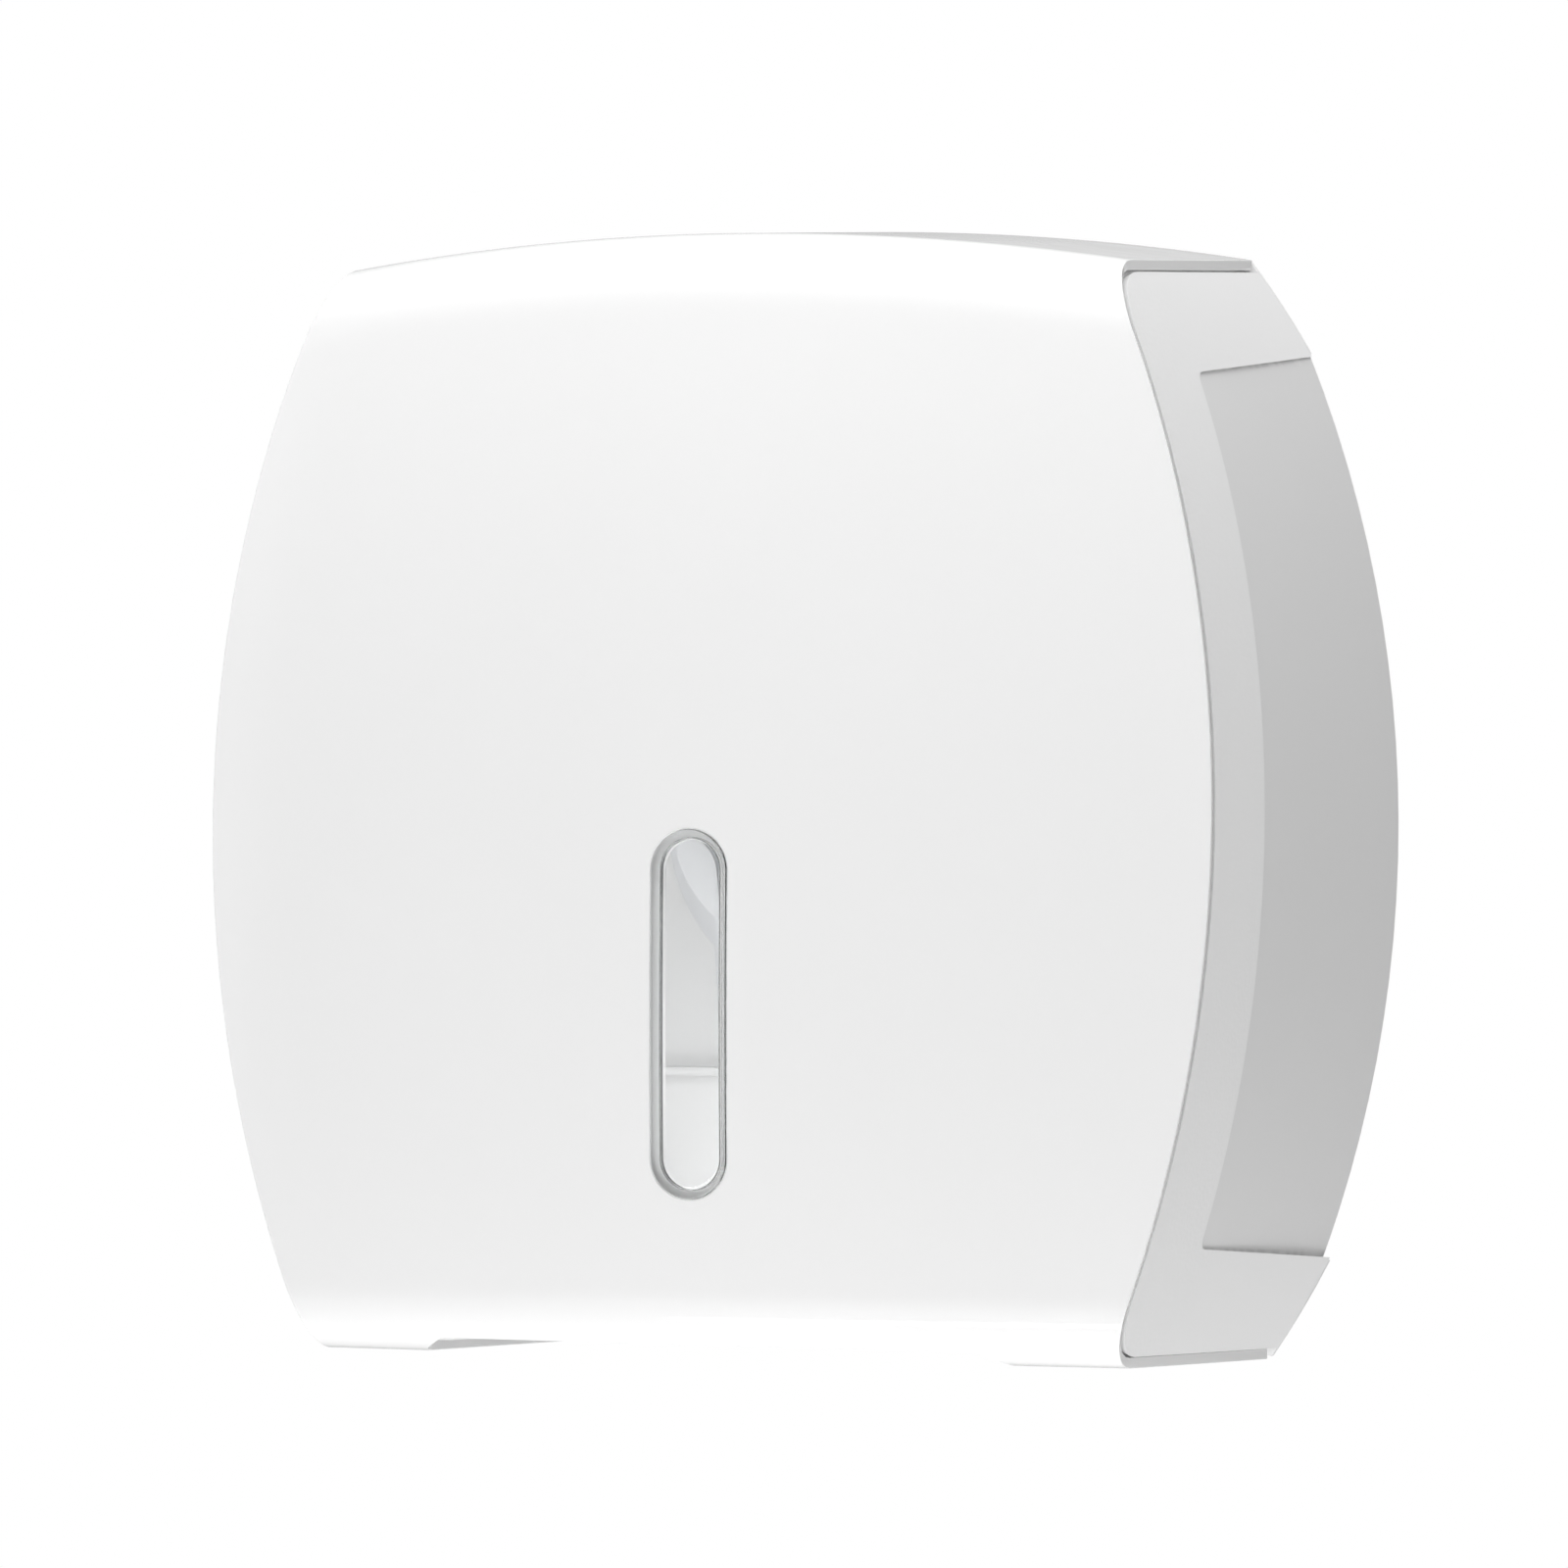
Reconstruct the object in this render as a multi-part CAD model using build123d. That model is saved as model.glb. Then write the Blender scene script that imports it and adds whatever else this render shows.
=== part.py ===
from build123d import *
import math
import os

# Wall-mounted roll dispenser. Millimetres, +Z up, the wall is the plane Y = 0 and the front faces -Y.
# The origin is on the wall, in the middle of the four screw slots and in line with the roll's spindle.

# ---- housing form ----
DEPTH = 118.0               # wall to the foremost point of the front
FRONT_LOW_Z = -46.0         # height of the foremost point
FRONT_RISE_R = 1310.0       # radius of the front, seen from the side
FRONT_CROSS_R = 860.0       # radius of the front, seen from above
SIDE_HALF_BACK = 146.3      # half width of the uncut sides at the wall
SIDE_TAPER = 24.3           # each side drawn in from the wall to full depth
SIDE_R_BACK = 224.0         # radius of the bulged side at the wall
SIDE_R_FRONT = 328.0        # radius of the bulged side at full depth
TOP_BACK_Z = 143.3          # crown of the top at the wall
TOP_FALL = 5.0              # drop of the crown from the wall to full depth
TOP_ARCH_R = 629.0          # radius of the arched top
BOTTOM_BACK_Z = -128.0      # underside at the wall
BOTTOM_CLIMB = 5.0          # rise of the underside from the wall to full depth
TOP_ROLL = 20.0             # rounding from front to top
BOTTOM_ROLL = 18.0          # rounding from front to underside

# ---- side recess ----
RECESS_SET_BACK = 8.9       # floor below the uncut side at the wall
RECESS_SET_FRONT = 1.5      # and at the recess's front edge
RECESS_R_BACK = 296.0       # radius of the bulged floor at the wall
RECESS_R_FRONT = 287.5      # and at the recess's front edge
RECESS_BAND_TOP = 44.5      # front of the housing to the recess, at its top
RECESS_BAND_MIDDLE = 35.5   # halfway down, where the edge bulges forward
RECESS_BAND_LOW = 38.0      # and at its foot
RECESS_TOP_SET = 31.3       # crown at the wall down to the recess's top
RECESS_TOP_FALL = 5.7       # drop of that edge towards the front
RECESS_LOW_SET = 24.5       # underside at the wall up to the recess's foot
RECESS_LOW_CLIMB = 6.5      # rise of that edge towards the front
RECESS_CORNER = 3.5

# ---- cover ----
WALL = 2.5                  # cover shell
PANEL_SET = 0.4             # side panel below the cover's rim
PANEL_WALL = 2.4
PANEL_GAP = 0.15            # between the panel's edge and the rim
FLANGE_WALL = 2.0           # flange that carries the panel
FLANGE_WIDTH = 8.0
SEAT_GAP = 0.1              # between panel and flange
REAR_GAP = 2.0              # wall to the cover's rear edge
PANEL_SCREW_DROP = 50.3     # crown at full depth down to the upper panel screws
PANEL_SCREW_LIFT = 39.0     # underside at full depth up to the lower ones
SCREW_PAD_R = 5.5           # pads on the flange under the panel screws
SCREW_PAD = 4.0
SCREW_BOSS_R = 3.0          # the panel's boss in each pad

# ---- small fixings ----
SCREW_R = 1.5               # plain shank of the small screws
SCREW_HEAD_R = 3.8
SCREW_HEAD = 2.2
SCREW_BITE = 0.5            # shank carried into its own head
DRIVER_SLOT = 1.0           # width and depth of a head's slot
BLIND = 0.8                 # left closed at the wall behind a screw
FIT_GAP = 0.15              # about a boss or head in its socket

# ---- outlet ----
OUTLET_MARGIN = 24.0        # hinge ear to the end of the outlet at its lip
OUTLET_SLOPE = 7.0          # how far each end slopes out through the wall
OUTLET_LIP = 1.2            # lip above the inside of the floor

# ---- hinge ----
HINGE_Y = -8.0
EAR_R = 6.0                 # knuckle about the hinge axis
EAR_INSET = 19.65           # side at the hinge in to the middle of each ear
EAR_WALL = 4.0
LUG_WALL = 4.0
LUG_R = 5.0
LUG_GAP = 0.5
PIN_R = 2.5
PIN_FIT = 0.05              # radial clearance of a running pin
PIN_HEAD_R = 4.0
PIN_HEAD = 1.5
PIN_END = 1.0               # pin past its ear

# ---- wall plate ----
PLATE_FLANGE = 1.6
PLATE_EDGE = 0.6            # plate edge inside the housing's outline
PAN_WALL = 3.0
PAN_INSET = 8.0
RIM_WALL = 2.0
RIM_DEPTH = 14.0
PAN_FOOT = 16.0             # underside at the wall up to the foot of the pan
SLOT_X = 80.0
SLOT_Z = 80.0
SLOT_R = 2.75
SLOT_LENGTH = 12.0
SLOT_BOSS_R = 8.5
SLOT_BOSS = 2.0
RIB_WALL = 2.0
RIB_DEPTH = 7.0
RIB_SET = 20.0              # level ribs inside the screw slots

# ---- spindle and hub ----
SPINDLE_R = 9.0
SPINDLE_FOOT_R = 30.0
SPINDLE_FOOT = 4.0
SPINDLE_SCREWS = 3
SPINDLE_SCREW_SET = 8.0     # rim of the foot in to its screws
SPINDLE_SINK = 2.2          # screw heads sunk into the foot
SEAT_MARGIN = 4.0           # seat on the pan round the foot
SEAT_RAISE = 3.0            # spindle seat above the pan
HUB_R = 28.5
HUB_WALL = 2.5
HUB_FLANGE_R = 44.0
HUB_FLANGE = 2.5
HUB_FRONT_Y = -51.0
HUB_RIBS = 6
HUB_POCKET_GAP = 3.0        # keeper washer to the wall of its pocket
HUB_POCKET = 6.0
HUB_SLEEVE = 3.0
HUB_FIT = 0.08
THRUST_RIM = 6.0            # width of the thrust washer's ring
THRUST = 1.0
AXIAL_GAP = 0.3
KEEPER_RIM = 5.0            # keeper washer past the spindle
KEEPER = 1.5
KEEPER_SCREW_R = 2.5
KEEPER_SCREW = 15.0         # thread length below the washer
KEEPER_HEAD_R = 6.0
KEEPER_HEAD = 3.4
KEEPER_CROSS = 1.4          # width of the cross recess
KEEPER_CROSS_DEPTH = 1.2

# ---- lock ----
LOCK_Y = -30.0
LOCK_R = 8.0                # threaded body
LOCK_LENGTH = 21.0
LOCK_RIM = 3.0              # flange past the body
LOCK_FLANGE = 2.2
LOCK_CHAMFER = 0.6
LOCK_SINK = 0.8             # lock face below the crown of the top
LOCK_BOSS_RIM = 3.0         # cover's boss past the flange
LOCK_BOSS = 12.0
LOCK_NUT_RIM = 3.0          # nut's flats past the body
LOCK_NUT = 5.0
BARREL_SHELL = 2.5          # body's wall about the barrel
BARREL_FIT = 0.05
BARREL_HEAD_RIM = 1.5
BARREL_HEAD = 1.7
BARREL_FLOOR = 0.5          # barrel face below the lock face
KEYWAY = 1.6
KEYWAY_WIDE = 6.0
KEYWAY_DEEP = 6.0
CAM_REACH = 22.0
CAM_WIDTH = 9.0
CAM_WALL = 2.5
CAM_DROP = 1.0              # body's end to the cam
CAM_EYE_RIM = 1.0           # cam's eye past the barrel
CAM_SCREW_R = 2.0
CAM_SCREW = 9.0             # thread length in the barrel
CAM_HEAD_R = 3.6
CAM_HEAD = 2.4

# ---- striker ----
STRIKER_X = 18.0
STRIKER_WIDTH = 16.0
STRIKER_WALL = 2.0
STRIKER_GAP = 0.8
STRIKER_LIP = 5.8
STRIKER_FOOT = 22.0
STRIKER_PAD = 2.0           # plate's pad behind the foot
STRIKER_SCREW_STEP = 4.5    # each screw from the middle of the foot

# ---- window ----
WINDOW_WIDTH = 19.0
WINDOW_HEIGHT = 86.0
WINDOW_Z = -42.7
WINDOW_PROUD = 0.5
WINDOW_GAP = 0.15
LENS_WALL = 2.0
LENS_FLANGE = 3.5
LENS_FLANGE_WALL = 1.5
FRAME_WIDTH = 8.0
FRAME_WALL = 2.0
WINDOW_SCREW_SET = 2.6      # lens flange to the screws beside it
WINDOW_SCREW_RISE = 30.0    # screws above and below the window's middle
WINDOW_SCREW_R = 1.25
WINDOW_HEAD_R = 2.4
WINDOW_SLOT = 0.6

# ---- rails and tear bars ----
RAIL_SET = 1.0              # outlet to each rail
RAIL_WIDTH = 15.0
RAIL = 4.0
RAIL_FRONT = 22.0           # front of the housing to the rail
RAIL_END = -18.0
TOOTH_PITCH = 3.0
TOOTH_HEIGHT = 2.5
TEAR_INSET = 4.0            # rail's front end to the first tooth
TEAR_WIDTH = 13.0
TEAR_WALL = 1.0
TEAR_REACH = 4.0            # tooth tips inside the outlet's end
TEAR_SCREW_FRONT = 16.0     # rail's front end to its first screw
TEAR_SCREW_REAR = 16.0      # rail's rear end to its second screw

# ---- brake spring ----
BRAKE_WIDTH = 10.0
BRAKE_WALL = 0.8
BRAKE_GAP = 0.3             # spring to the hub's flange
BRAKE_CLEAR = 8.0           # rim of the hub's flange out to the foot
BRAKE_FOOT = 12.0
BRAKE_LAP = 8.0             # spring's tip inside the rim
BRAKE_FLAT = 6.0

BIG = 400.0                 # past the whole housing

SIDE_HALF_FRONT = SIDE_HALF_BACK - SIDE_TAPER
TOP_FRONT_Z = TOP_BACK_Z - TOP_FALL
BOTTOM_FRONT_Z = BOTTOM_BACK_Z + BOTTOM_CLIMB
RECESS_DEPTH_TOP = DEPTH - RECESS_BAND_TOP
RECESS_DEPTH_LOW = DEPTH - RECESS_BAND_LOW
RECESS_DEPTH = (RECESS_DEPTH_TOP + RECESS_DEPTH_LOW) / 2


def lerp(back, front, share):
    return back + (front - back) * share


def seat_z(y):
    """Height of the flat underside at a place in front of the wall."""
    return lerp(BOTTOM_BACK_Z, BOTTOM_FRONT_Z, -y / DEPTH)


def crown_z(y):
    """Height of the top's crown at a place in front of the wall."""
    return lerp(TOP_BACK_Z, TOP_FRONT_Z, -y / DEPTH)


def side_x(y, z):
    """Half width of the uncut side at a depth and a height."""
    share = -y / DEPTH
    radius = 1 / lerp(1 / SIDE_R_BACK, 1 / SIDE_R_FRONT, share)
    half = lerp(SIDE_HALF_BACK, SIDE_HALF_FRONT, share)
    return half - radius + math.sqrt(radius ** 2 - z ** 2)


def front_y(x, z):
    """The front surface at a width and a height."""
    rise = FRONT_RISE_R - math.sqrt(FRONT_RISE_R ** 2 - (z - FRONT_LOW_Z) ** 2)
    reach = FRONT_CROSS_R - rise
    return FRONT_CROSS_R - DEPTH - math.sqrt(reach ** 2 - x ** 2)


def across(y):
    """Plane across the housing, local X and Y being X and Z."""
    return Plane(origin=(0, y, 0), x_dir=(1, 0, 0), z_dir=(0, -1, 0))


def barrel_section(y, half, radius, reach):
    """Face between two outward arcs, as wide as twice half at its middle."""
    edge = half - radius + math.sqrt(radius ** 2 - reach ** 2)
    outline = [
        ThreePointArc((edge, -reach), (half, 0), (edge, reach)),
        Line((edge, reach), (-edge, reach)),
        ThreePointArc((-edge, reach), (-half, 0), (-edge, -reach)),
        Line((-edge, -reach), (edge, -reach)),
    ]
    return across(y) * make_face(Curve() + outline)


def sides_form(inset):
    """Block between the two bulged sides, each pulled in by inset."""
    faces = []
    for share in (-0.06, 1.1):
        half = lerp(SIDE_HALF_BACK, SIDE_HALF_FRONT, share) - inset
        radius = 1 / lerp(1 / SIDE_R_BACK, 1 / SIDE_R_FRONT, share) - inset
        faces.append(barrel_section(-share * DEPTH, half, radius, 165))
    return loft(faces, ruled=True)


def recess_floor(inset):
    """Block between the two recess floors, each pulled in by inset."""
    half_back = SIDE_HALF_BACK - RECESS_SET_BACK
    half_front = lerp(SIDE_HALF_BACK, SIDE_HALF_FRONT, RECESS_DEPTH / DEPTH) - RECESS_SET_FRONT
    faces = []
    for share in (-0.1, 1.3):
        half = lerp(half_back, half_front, share) - inset
        radius = 1 / lerp(1 / RECESS_R_BACK, 1 / RECESS_R_FRONT, share) - inset
        faces.append(barrel_section(-share * RECESS_DEPTH, half, radius, 150))
    return loft(faces, ruled=True)


def recess(inset):
    """The two side recesses as cutters, grown by inset into the housing."""
    slope_top = RECESS_TOP_FALL / RECESS_DEPTH_TOP
    slope_low = RECESS_LOW_CLIMB / RECESS_DEPTH_LOW
    top = TOP_BACK_Z - RECESS_TOP_SET + inset
    low = BOTTOM_BACK_Z + RECESS_LOW_SET - inset
    past = 10.0
    upper = (-RECESS_DEPTH_TOP - inset, top - RECESS_TOP_FALL)
    lower = (-RECESS_DEPTH_LOW - inset, low + RECESS_LOW_CLIMB)
    middle = (RECESS_BAND_MIDDLE - DEPTH - inset, (upper[1] + lower[1]) / 2)
    outline = [
        Polyline(lower, (past, low - slope_low * past), (past, top + slope_top * past), upper),
        ThreePointArc(upper, middle, lower),
    ]
    face = make_face(Curve() + outline)
    corners = face.vertices().sort_by(Axis.X)[:2]
    face = fillet(corners, RECESS_CORNER + inset)
    slab = extrude(Plane.YZ * face, 200, both=True)
    return slab - recess_floor(inset)


def long_front_edges(body, height):
    """The edge across the body's front nearest to a height."""
    ends = [e for e in body.edges() if e.length > 250 and e.center().Y < -DEPTH / 2]
    return min(ends, key=lambda e: abs(e.center().Z - height))


def caps_form(inset):
    """Block under the arched top, over the underside and behind the front, rolled at both front edges."""
    wide = 170.0
    faces = []
    for share in (-0.06, 1.1):
        crown = lerp(TOP_BACK_Z, TOP_FRONT_Z, share) - inset
        low = lerp(BOTTOM_BACK_Z, BOTTOM_FRONT_Z, share) + inset
        radius = TOP_ARCH_R - inset
        edge = crown - radius + math.sqrt(radius ** 2 - wide ** 2)
        outline = [
            ThreePointArc((wide, edge), (0, crown), (-wide, edge)),
            Polyline((-wide, edge), (-wide, low), (wide, low), (wide, edge)),
        ]
        faces.append(across(-share * DEPTH) * make_face(Curve() + outline))
    block = loft(faces, ruled=True)
    radius = FRONT_RISE_R - inset
    reach = 190.0
    front = -DEPTH + inset
    ends_y = front + radius - math.sqrt(radius ** 2 - reach ** 2)
    low = (ends_y, FRONT_LOW_Z - reach)
    high = (ends_y, FRONT_LOW_Z + reach)
    profile = [
        ThreePointArc(low, (front, FRONT_LOW_Z), high),
        Polyline(high, (20, high[1]), (20, low[1]), low),
    ]
    pivot = Axis((0, FRONT_CROSS_R - DEPTH, 0), (0, 0, 1))
    nose = revolve(Plane.YZ * make_face(Curve() + profile), pivot, 30).rotate(pivot, -15)
    body = block & nose
    body = fillet(long_front_edges(body, crown_z(-DEPTH) - inset), TOP_ROLL - inset)
    return fillet(long_front_edges(body, seat_z(-DEPTH) + inset), BOTTOM_ROLL - inset)


def behind(y):
    """Everything between the wall side and a plane Y = y, as a cutter."""
    return Pos(0, y + BIG / 2, 0) * Box(BIG, BIG, BIG)


def bar_x(radius, x0, x1, y, z):
    """Round bar along X."""
    return Pos((x0 + x1) / 2, y, z) * Rot(0, 90, 0) * Cylinder(radius, abs(x1 - x0))


def bar_y(radius, y0, y1, x, z):
    """Round bar along Y."""
    return Pos(x, (y0 + y1) / 2, z) * Rot(90, 0, 0) * Cylinder(radius, abs(y1 - y0))


def bar_z(radius, z0, z1, x, y):
    """Round bar along Z."""
    return Pos(x, y, (z0 + z1) / 2) * Cylinder(radius, abs(z1 - z0))


def brick(x0, x1, y0, y1, z0, z1):
    """Box between two corners."""
    return Pos((x0 + x1) / 2, (y0 + y1) / 2, (z0 + z1) / 2) * Box(abs(x1 - x0), abs(y1 - y0), abs(z1 - z0))


def whole(shape):
    """The one solid of a shape, or its solids as a compound."""
    solids = shape.solids()
    return solids[0] if len(solids) == 1 else Compound(children=list(solids))


HINGE_Z = seat_z(HINGE_Y) + EAR_R
EAR_X = side_x(HINGE_Y, HINGE_Z) - EAR_INSET
LUG_X = EAR_X - EAR_WALL / 2 - LUG_GAP - LUG_WALL / 2
PAN_LOW_Z = BOTTOM_BACK_Z + PAN_FOOT
OUTLET_HALF = EAR_X - OUTLET_MARGIN
OUTLET_RISE = WALL + OUTLET_LIP
LOCK_TOP = crown_z(LOCK_Y)
SEAT_Y = -PAN_WALL - SEAT_RAISE
KEEPER_Y = HUB_FRONT_Y + HUB_POCKET
FLANGE_SET = PANEL_SET + PANEL_WALL + SEAT_GAP
PANEL_SCREWS_Z = (TOP_FRONT_Z - PANEL_SCREW_DROP, 0.0, BOTTOM_FRONT_Z + PANEL_SCREW_LIFT)


def floor_frame():
    """Frame on the sloping underside: local Y runs along it and local Z stands on it."""
    tilt = math.degrees(math.atan2(BOTTOM_FRONT_Z - BOTTOM_BACK_Z, DEPTH))
    return Pos(0, 0, BOTTOM_BACK_Z) * Rot(-tilt, 0, 0)


def hinge_clearance():
    """Cutter that rounds the cover's lower rear corner about the hinge axis."""
    corner = brick(-BIG, BIG, HINGE_Y, 20, HINGE_Z - 4 * EAR_R, HINGE_Z)
    return corner - bar_x(EAR_R, -BIG, BIG, HINGE_Y, HINGE_Z)


def housing(inset):
    """The whole housing's outer form, recesses included, pulled in by inset."""
    return (caps_form(inset) & sides_form(inset)) - recess(inset)


def stadium_prism(width, height):
    """Upright round-ended bar through the front at the window."""
    face = Rot(0, 0, 90) * SlotOverall(height, width)
    return extrude(Plane(origin=(0, -DEPTH - 5, WINDOW_Z), x_dir=(1, 0, 0), z_dir=(0, -1, 0)) * face, -30)


def panel_screw_places():
    """Depth, height and pad face of each side panel screw."""
    places = []
    for z in PANEL_SCREWS_Z:
        edge = front_y(side_x(-DEPTH, z), z)
        y = edge + WALL + FLANGE_WIDTH / 2
        places.append((y, z, side_x(y, z) - FLANGE_SET - FLANGE_WALL - SCREW_PAD))
    return places


# ---- front cover ----

RAIL_X = OUTLET_HALF + RAIL_SET
RAIL_MIDDLE = RAIL_X + RAIL_WIDTH / 2
RAIL_START = -DEPTH + RAIL_FRONT
TEAR_SCREWS_Y = (RAIL_START + TEAR_SCREW_FRONT, RAIL_END - TEAR_SCREW_REAR)
WINDOW_SCREW_X = WINDOW_WIDTH / 2 + LENS_FLANGE + WINDOW_SCREW_SET
SEAL_SINK = WALL + LENS_FLANGE_WALL
LOCK_FLANGE_R = LOCK_R + LOCK_RIM


def window_screw_places():
    return [
        (x, WINDOW_Z + rise)
        for x in (-WINDOW_SCREW_X, WINDOW_SCREW_X)
        for rise in (-WINDOW_SCREW_RISE, WINDOW_SCREW_RISE)
    ]


def outlet_cutter():
    """Trapezoid through the underside and the front's lower lip."""
    below = 6.0
    flare = OUTLET_SLOPE / OUTLET_RISE
    wide = OUTLET_HALF + flare * (OUTLET_RISE + below)
    outline = Polyline(
        (-OUTLET_HALF, OUTLET_RISE), (OUTLET_HALF, OUTLET_RISE), (wide, -below), (-wide, -below), close=True
    )
    prism = extrude(across(20) * make_face(outline), DEPTH + 40)
    return floor_frame() * prism


def hinge_ear(x):
    """Cover's knuckle plate at one end of the underside, with its web."""
    web = Polyline(
        (HINGE_Y, HINGE_Z + EAR_R),
        (HINGE_Y - 4 * EAR_R, HINGE_Z - EAR_R + WALL),
        (HINGE_Y, HINGE_Z - EAR_R + WALL / 2),
        close=True,
    )
    plate = extrude(Plane.YZ * make_face(web), EAR_WALL / 2, both=True)
    plate = Pos(x, 0, 0) * plate
    return plate + bar_x(EAR_R, x - EAR_WALL / 2, x + EAR_WALL / 2, HINGE_Y, HINGE_Z)


def front_cover():
    shell = (caps_form(0) - caps_form(WALL)) & sides_form(0)
    collar = sides_form(FLANGE_SET) - sides_form(FLANGE_SET + FLANGE_WALL)
    collar &= caps_form(WALL / 2) - caps_form(WALL + FLANGE_WIDTH)
    cover = shell + collar
    for y, z, pad_x in panel_screw_places():
        for side in (-1, 1):
            pad = bar_x(SCREW_PAD_R, side * pad_x, side * (pad_x + 20), y, z) & sides_form(FLANGE_SET)
            cover += pad
            cover -= bar_x(SCREW_BOSS_R + FIT_GAP, side * (pad_x - 1), side * (pad_x + 20), y, z)
    for x in (-1, 1):
        inner, outer = sorted((x * RAIL_X, x * (RAIL_X + RAIL_WIDTH)))
        rail = floor_frame() * brick(inner, outer, RAIL_START, RAIL_END, WALL / 2, WALL + RAIL)
        cover += rail & caps_form(WALL / 2)
    lock_boss = bar_z(LOCK_FLANGE_R + LOCK_BOSS_RIM, LOCK_TOP - LOCK_BOSS, LOCK_TOP + 5, 0, LOCK_Y)
    cover += lock_boss & caps_form(0)
    for x, z in window_screw_places():
        y = front_y(x, z)
        cover += bar_y(WINDOW_HEAD_R, y + WALL / 2, y + 10, x, z) - caps_form(SEAL_SINK)
    cover -= stadium_prism(WINDOW_WIDTH + 2 * WINDOW_GAP, WINDOW_HEIGHT + 2 * WINDOW_GAP)
    for x, z in window_screw_places():
        y = front_y(x, z)
        cover -= bar_y(WINDOW_SCREW_R, y + WALL / 2, y + 10, x, z)
    cover -= outlet_cutter()
    cover -= behind(-REAR_GAP)
    cover -= hinge_clearance()
    for side in (-1, 1):
        notch_end = EAR_X - EAR_WALL / 2
        notch_start = LUG_X - LUG_WALL / 2 - PIN_HEAD - LUG_GAP
        low, high = side * notch_start, side * notch_end
        cover -= brick(low, high, HINGE_Y - EAR_R, 10, HINGE_Z - 2 * EAR_R, HINGE_Z + EAR_R)
        cover += hinge_ear(side * EAR_X)
        bore_ends = (side * (EAR_X - EAR_WALL), side * (EAR_X + EAR_WALL))
        cover -= bar_x(PIN_R + PIN_FIT, *bore_ends, HINGE_Y, HINGE_Z)
        for y in TEAR_SCREWS_Y:
            x = side * RAIL_MIDDLE
            cover -= floor_frame() * bar_z(SCREW_R, WALL, WALL + RAIL + 5, x, y)
    flange_seat = LOCK_TOP - LOCK_SINK - LOCK_FLANGE
    cover -= bar_z(LOCK_R + FIT_GAP, LOCK_TOP - 2 * LOCK_BOSS, LOCK_TOP + 5, 0, LOCK_Y)
    cover -= bar_z(LOCK_FLANGE_R + FIT_GAP, flange_seat, LOCK_TOP + 5, 0, LOCK_Y)
    return cover


# ---- side panels ----

def side_panels():
    """Left and right panel: an even skin that follows the flared side and steps in at the recess."""
    outer = sides_form(PANEL_SET) - recess(0)
    inner = sides_form(PANEL_SET + PANEL_WALL) - recess(PANEL_WALL)
    skins = (outer - inner) & caps_form(WALL + PANEL_GAP)
    skins -= behind(-REAR_GAP)
    skins -= hinge_clearance()
    solid = (sides_form(PANEL_SET + PANEL_WALL / 2) - recess(PANEL_WALL / 2)) & caps_form(WALL + PANEL_GAP)
    panels = []
    for side in (-1, 1):
        panel = skins & brick(0, side * BIG, -BIG, BIG, -BIG, BIG)
        for y, z, pad_x in panel_screw_places():
            start = pad_x + 2 * SEAT_GAP
            panel += bar_x(SCREW_BOSS_R, side * start, side * (pad_x + 20), y, z) & solid
            panel -= bar_x(SCREW_R, side * (start - 1), side * (pad_x + SCREW_PAD + FLANGE_WALL), y, z)
        panels.append(panel)
    return panels


def panel_screws():
    screws = []
    for y, z, pad_x in panel_screw_places():
        for side in (-1, 1):
            head = bar_x(SCREW_HEAD_R, side * (pad_x - SCREW_HEAD), side * pad_x, y, z)
            tip_x = pad_x + SCREW_PAD + FLANGE_WALL
            shank = bar_x(SCREW_R, side * (pad_x - SCREW_BITE), side * tip_x, y, z)
            face = side * (pad_x - SCREW_HEAD)
            slot = brick(
                face - DRIVER_SLOT, face + DRIVER_SLOT, y - SCREW_HEAD_R, y + SCREW_HEAD_R,
                z - DRIVER_SLOT / 2, z + DRIVER_SLOT / 2,
            )
            screws.append(head + shank - slot)
    return screws


# ---- window ----

def window_lens():
    """Clear cup with a raised face, and a flange behind the cover."""
    face = stadium_prism(WINDOW_WIDTH, WINDOW_HEIGHT) & (caps_form(-WINDOW_PROUD) - caps_form(SEAL_SINK))
    hollow = stadium_prism(WINDOW_WIDTH - 2 * LENS_WALL, WINDOW_HEIGHT - 2 * LENS_WALL)
    hollow &= caps_form(LENS_WALL - WINDOW_PROUD)
    flange = stadium_prism(WINDOW_WIDTH + 2 * LENS_FLANGE, WINDOW_HEIGHT + 2 * LENS_FLANGE)
    flange &= caps_form(WALL) - caps_form(SEAL_SINK)
    return face + flange - hollow


def window_frame():
    """Ring screwed to the cover's inside, which holds the lens by its flange."""
    ring = stadium_prism(WINDOW_WIDTH + 2 * FRAME_WIDTH, WINDOW_HEIGHT + 2 * FRAME_WIDTH)
    ring -= stadium_prism(WINDOW_WIDTH - 2 * LENS_WALL, WINDOW_HEIGHT - 2 * LENS_WALL)
    ring &= caps_form(SEAL_SINK) - caps_form(SEAL_SINK + FRAME_WALL)
    for x, z in window_screw_places():
        ring -= bar_y(WINDOW_SCREW_R, -DEPTH, -DEPTH + 30, x, z)
    return ring


def window_screws():
    screws = []
    inside = caps_form(SEAL_SINK + FRAME_WALL)
    for x, z in window_screw_places():
        y = front_y(x, z)
        top = y + SEAL_SINK + FRAME_WALL + SCREW_HEAD
        head = bar_y(WINDOW_HEAD_R, y + WALL, top, x, z) & inside
        shank = bar_y(WINDOW_SCREW_R, y + WALL / 2, top - SCREW_HEAD / 2, x, z)
        slot = brick(
            x - WINDOW_HEAD_R, x + WINDOW_HEAD_R, top - WINDOW_SLOT, top + WINDOW_SLOT,
            z - WINDOW_SLOT / 2, z + WINDOW_SLOT / 2,
        )
        screws.append(head + shank - slot)
    return screws


# ---- tear bars ----

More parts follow.
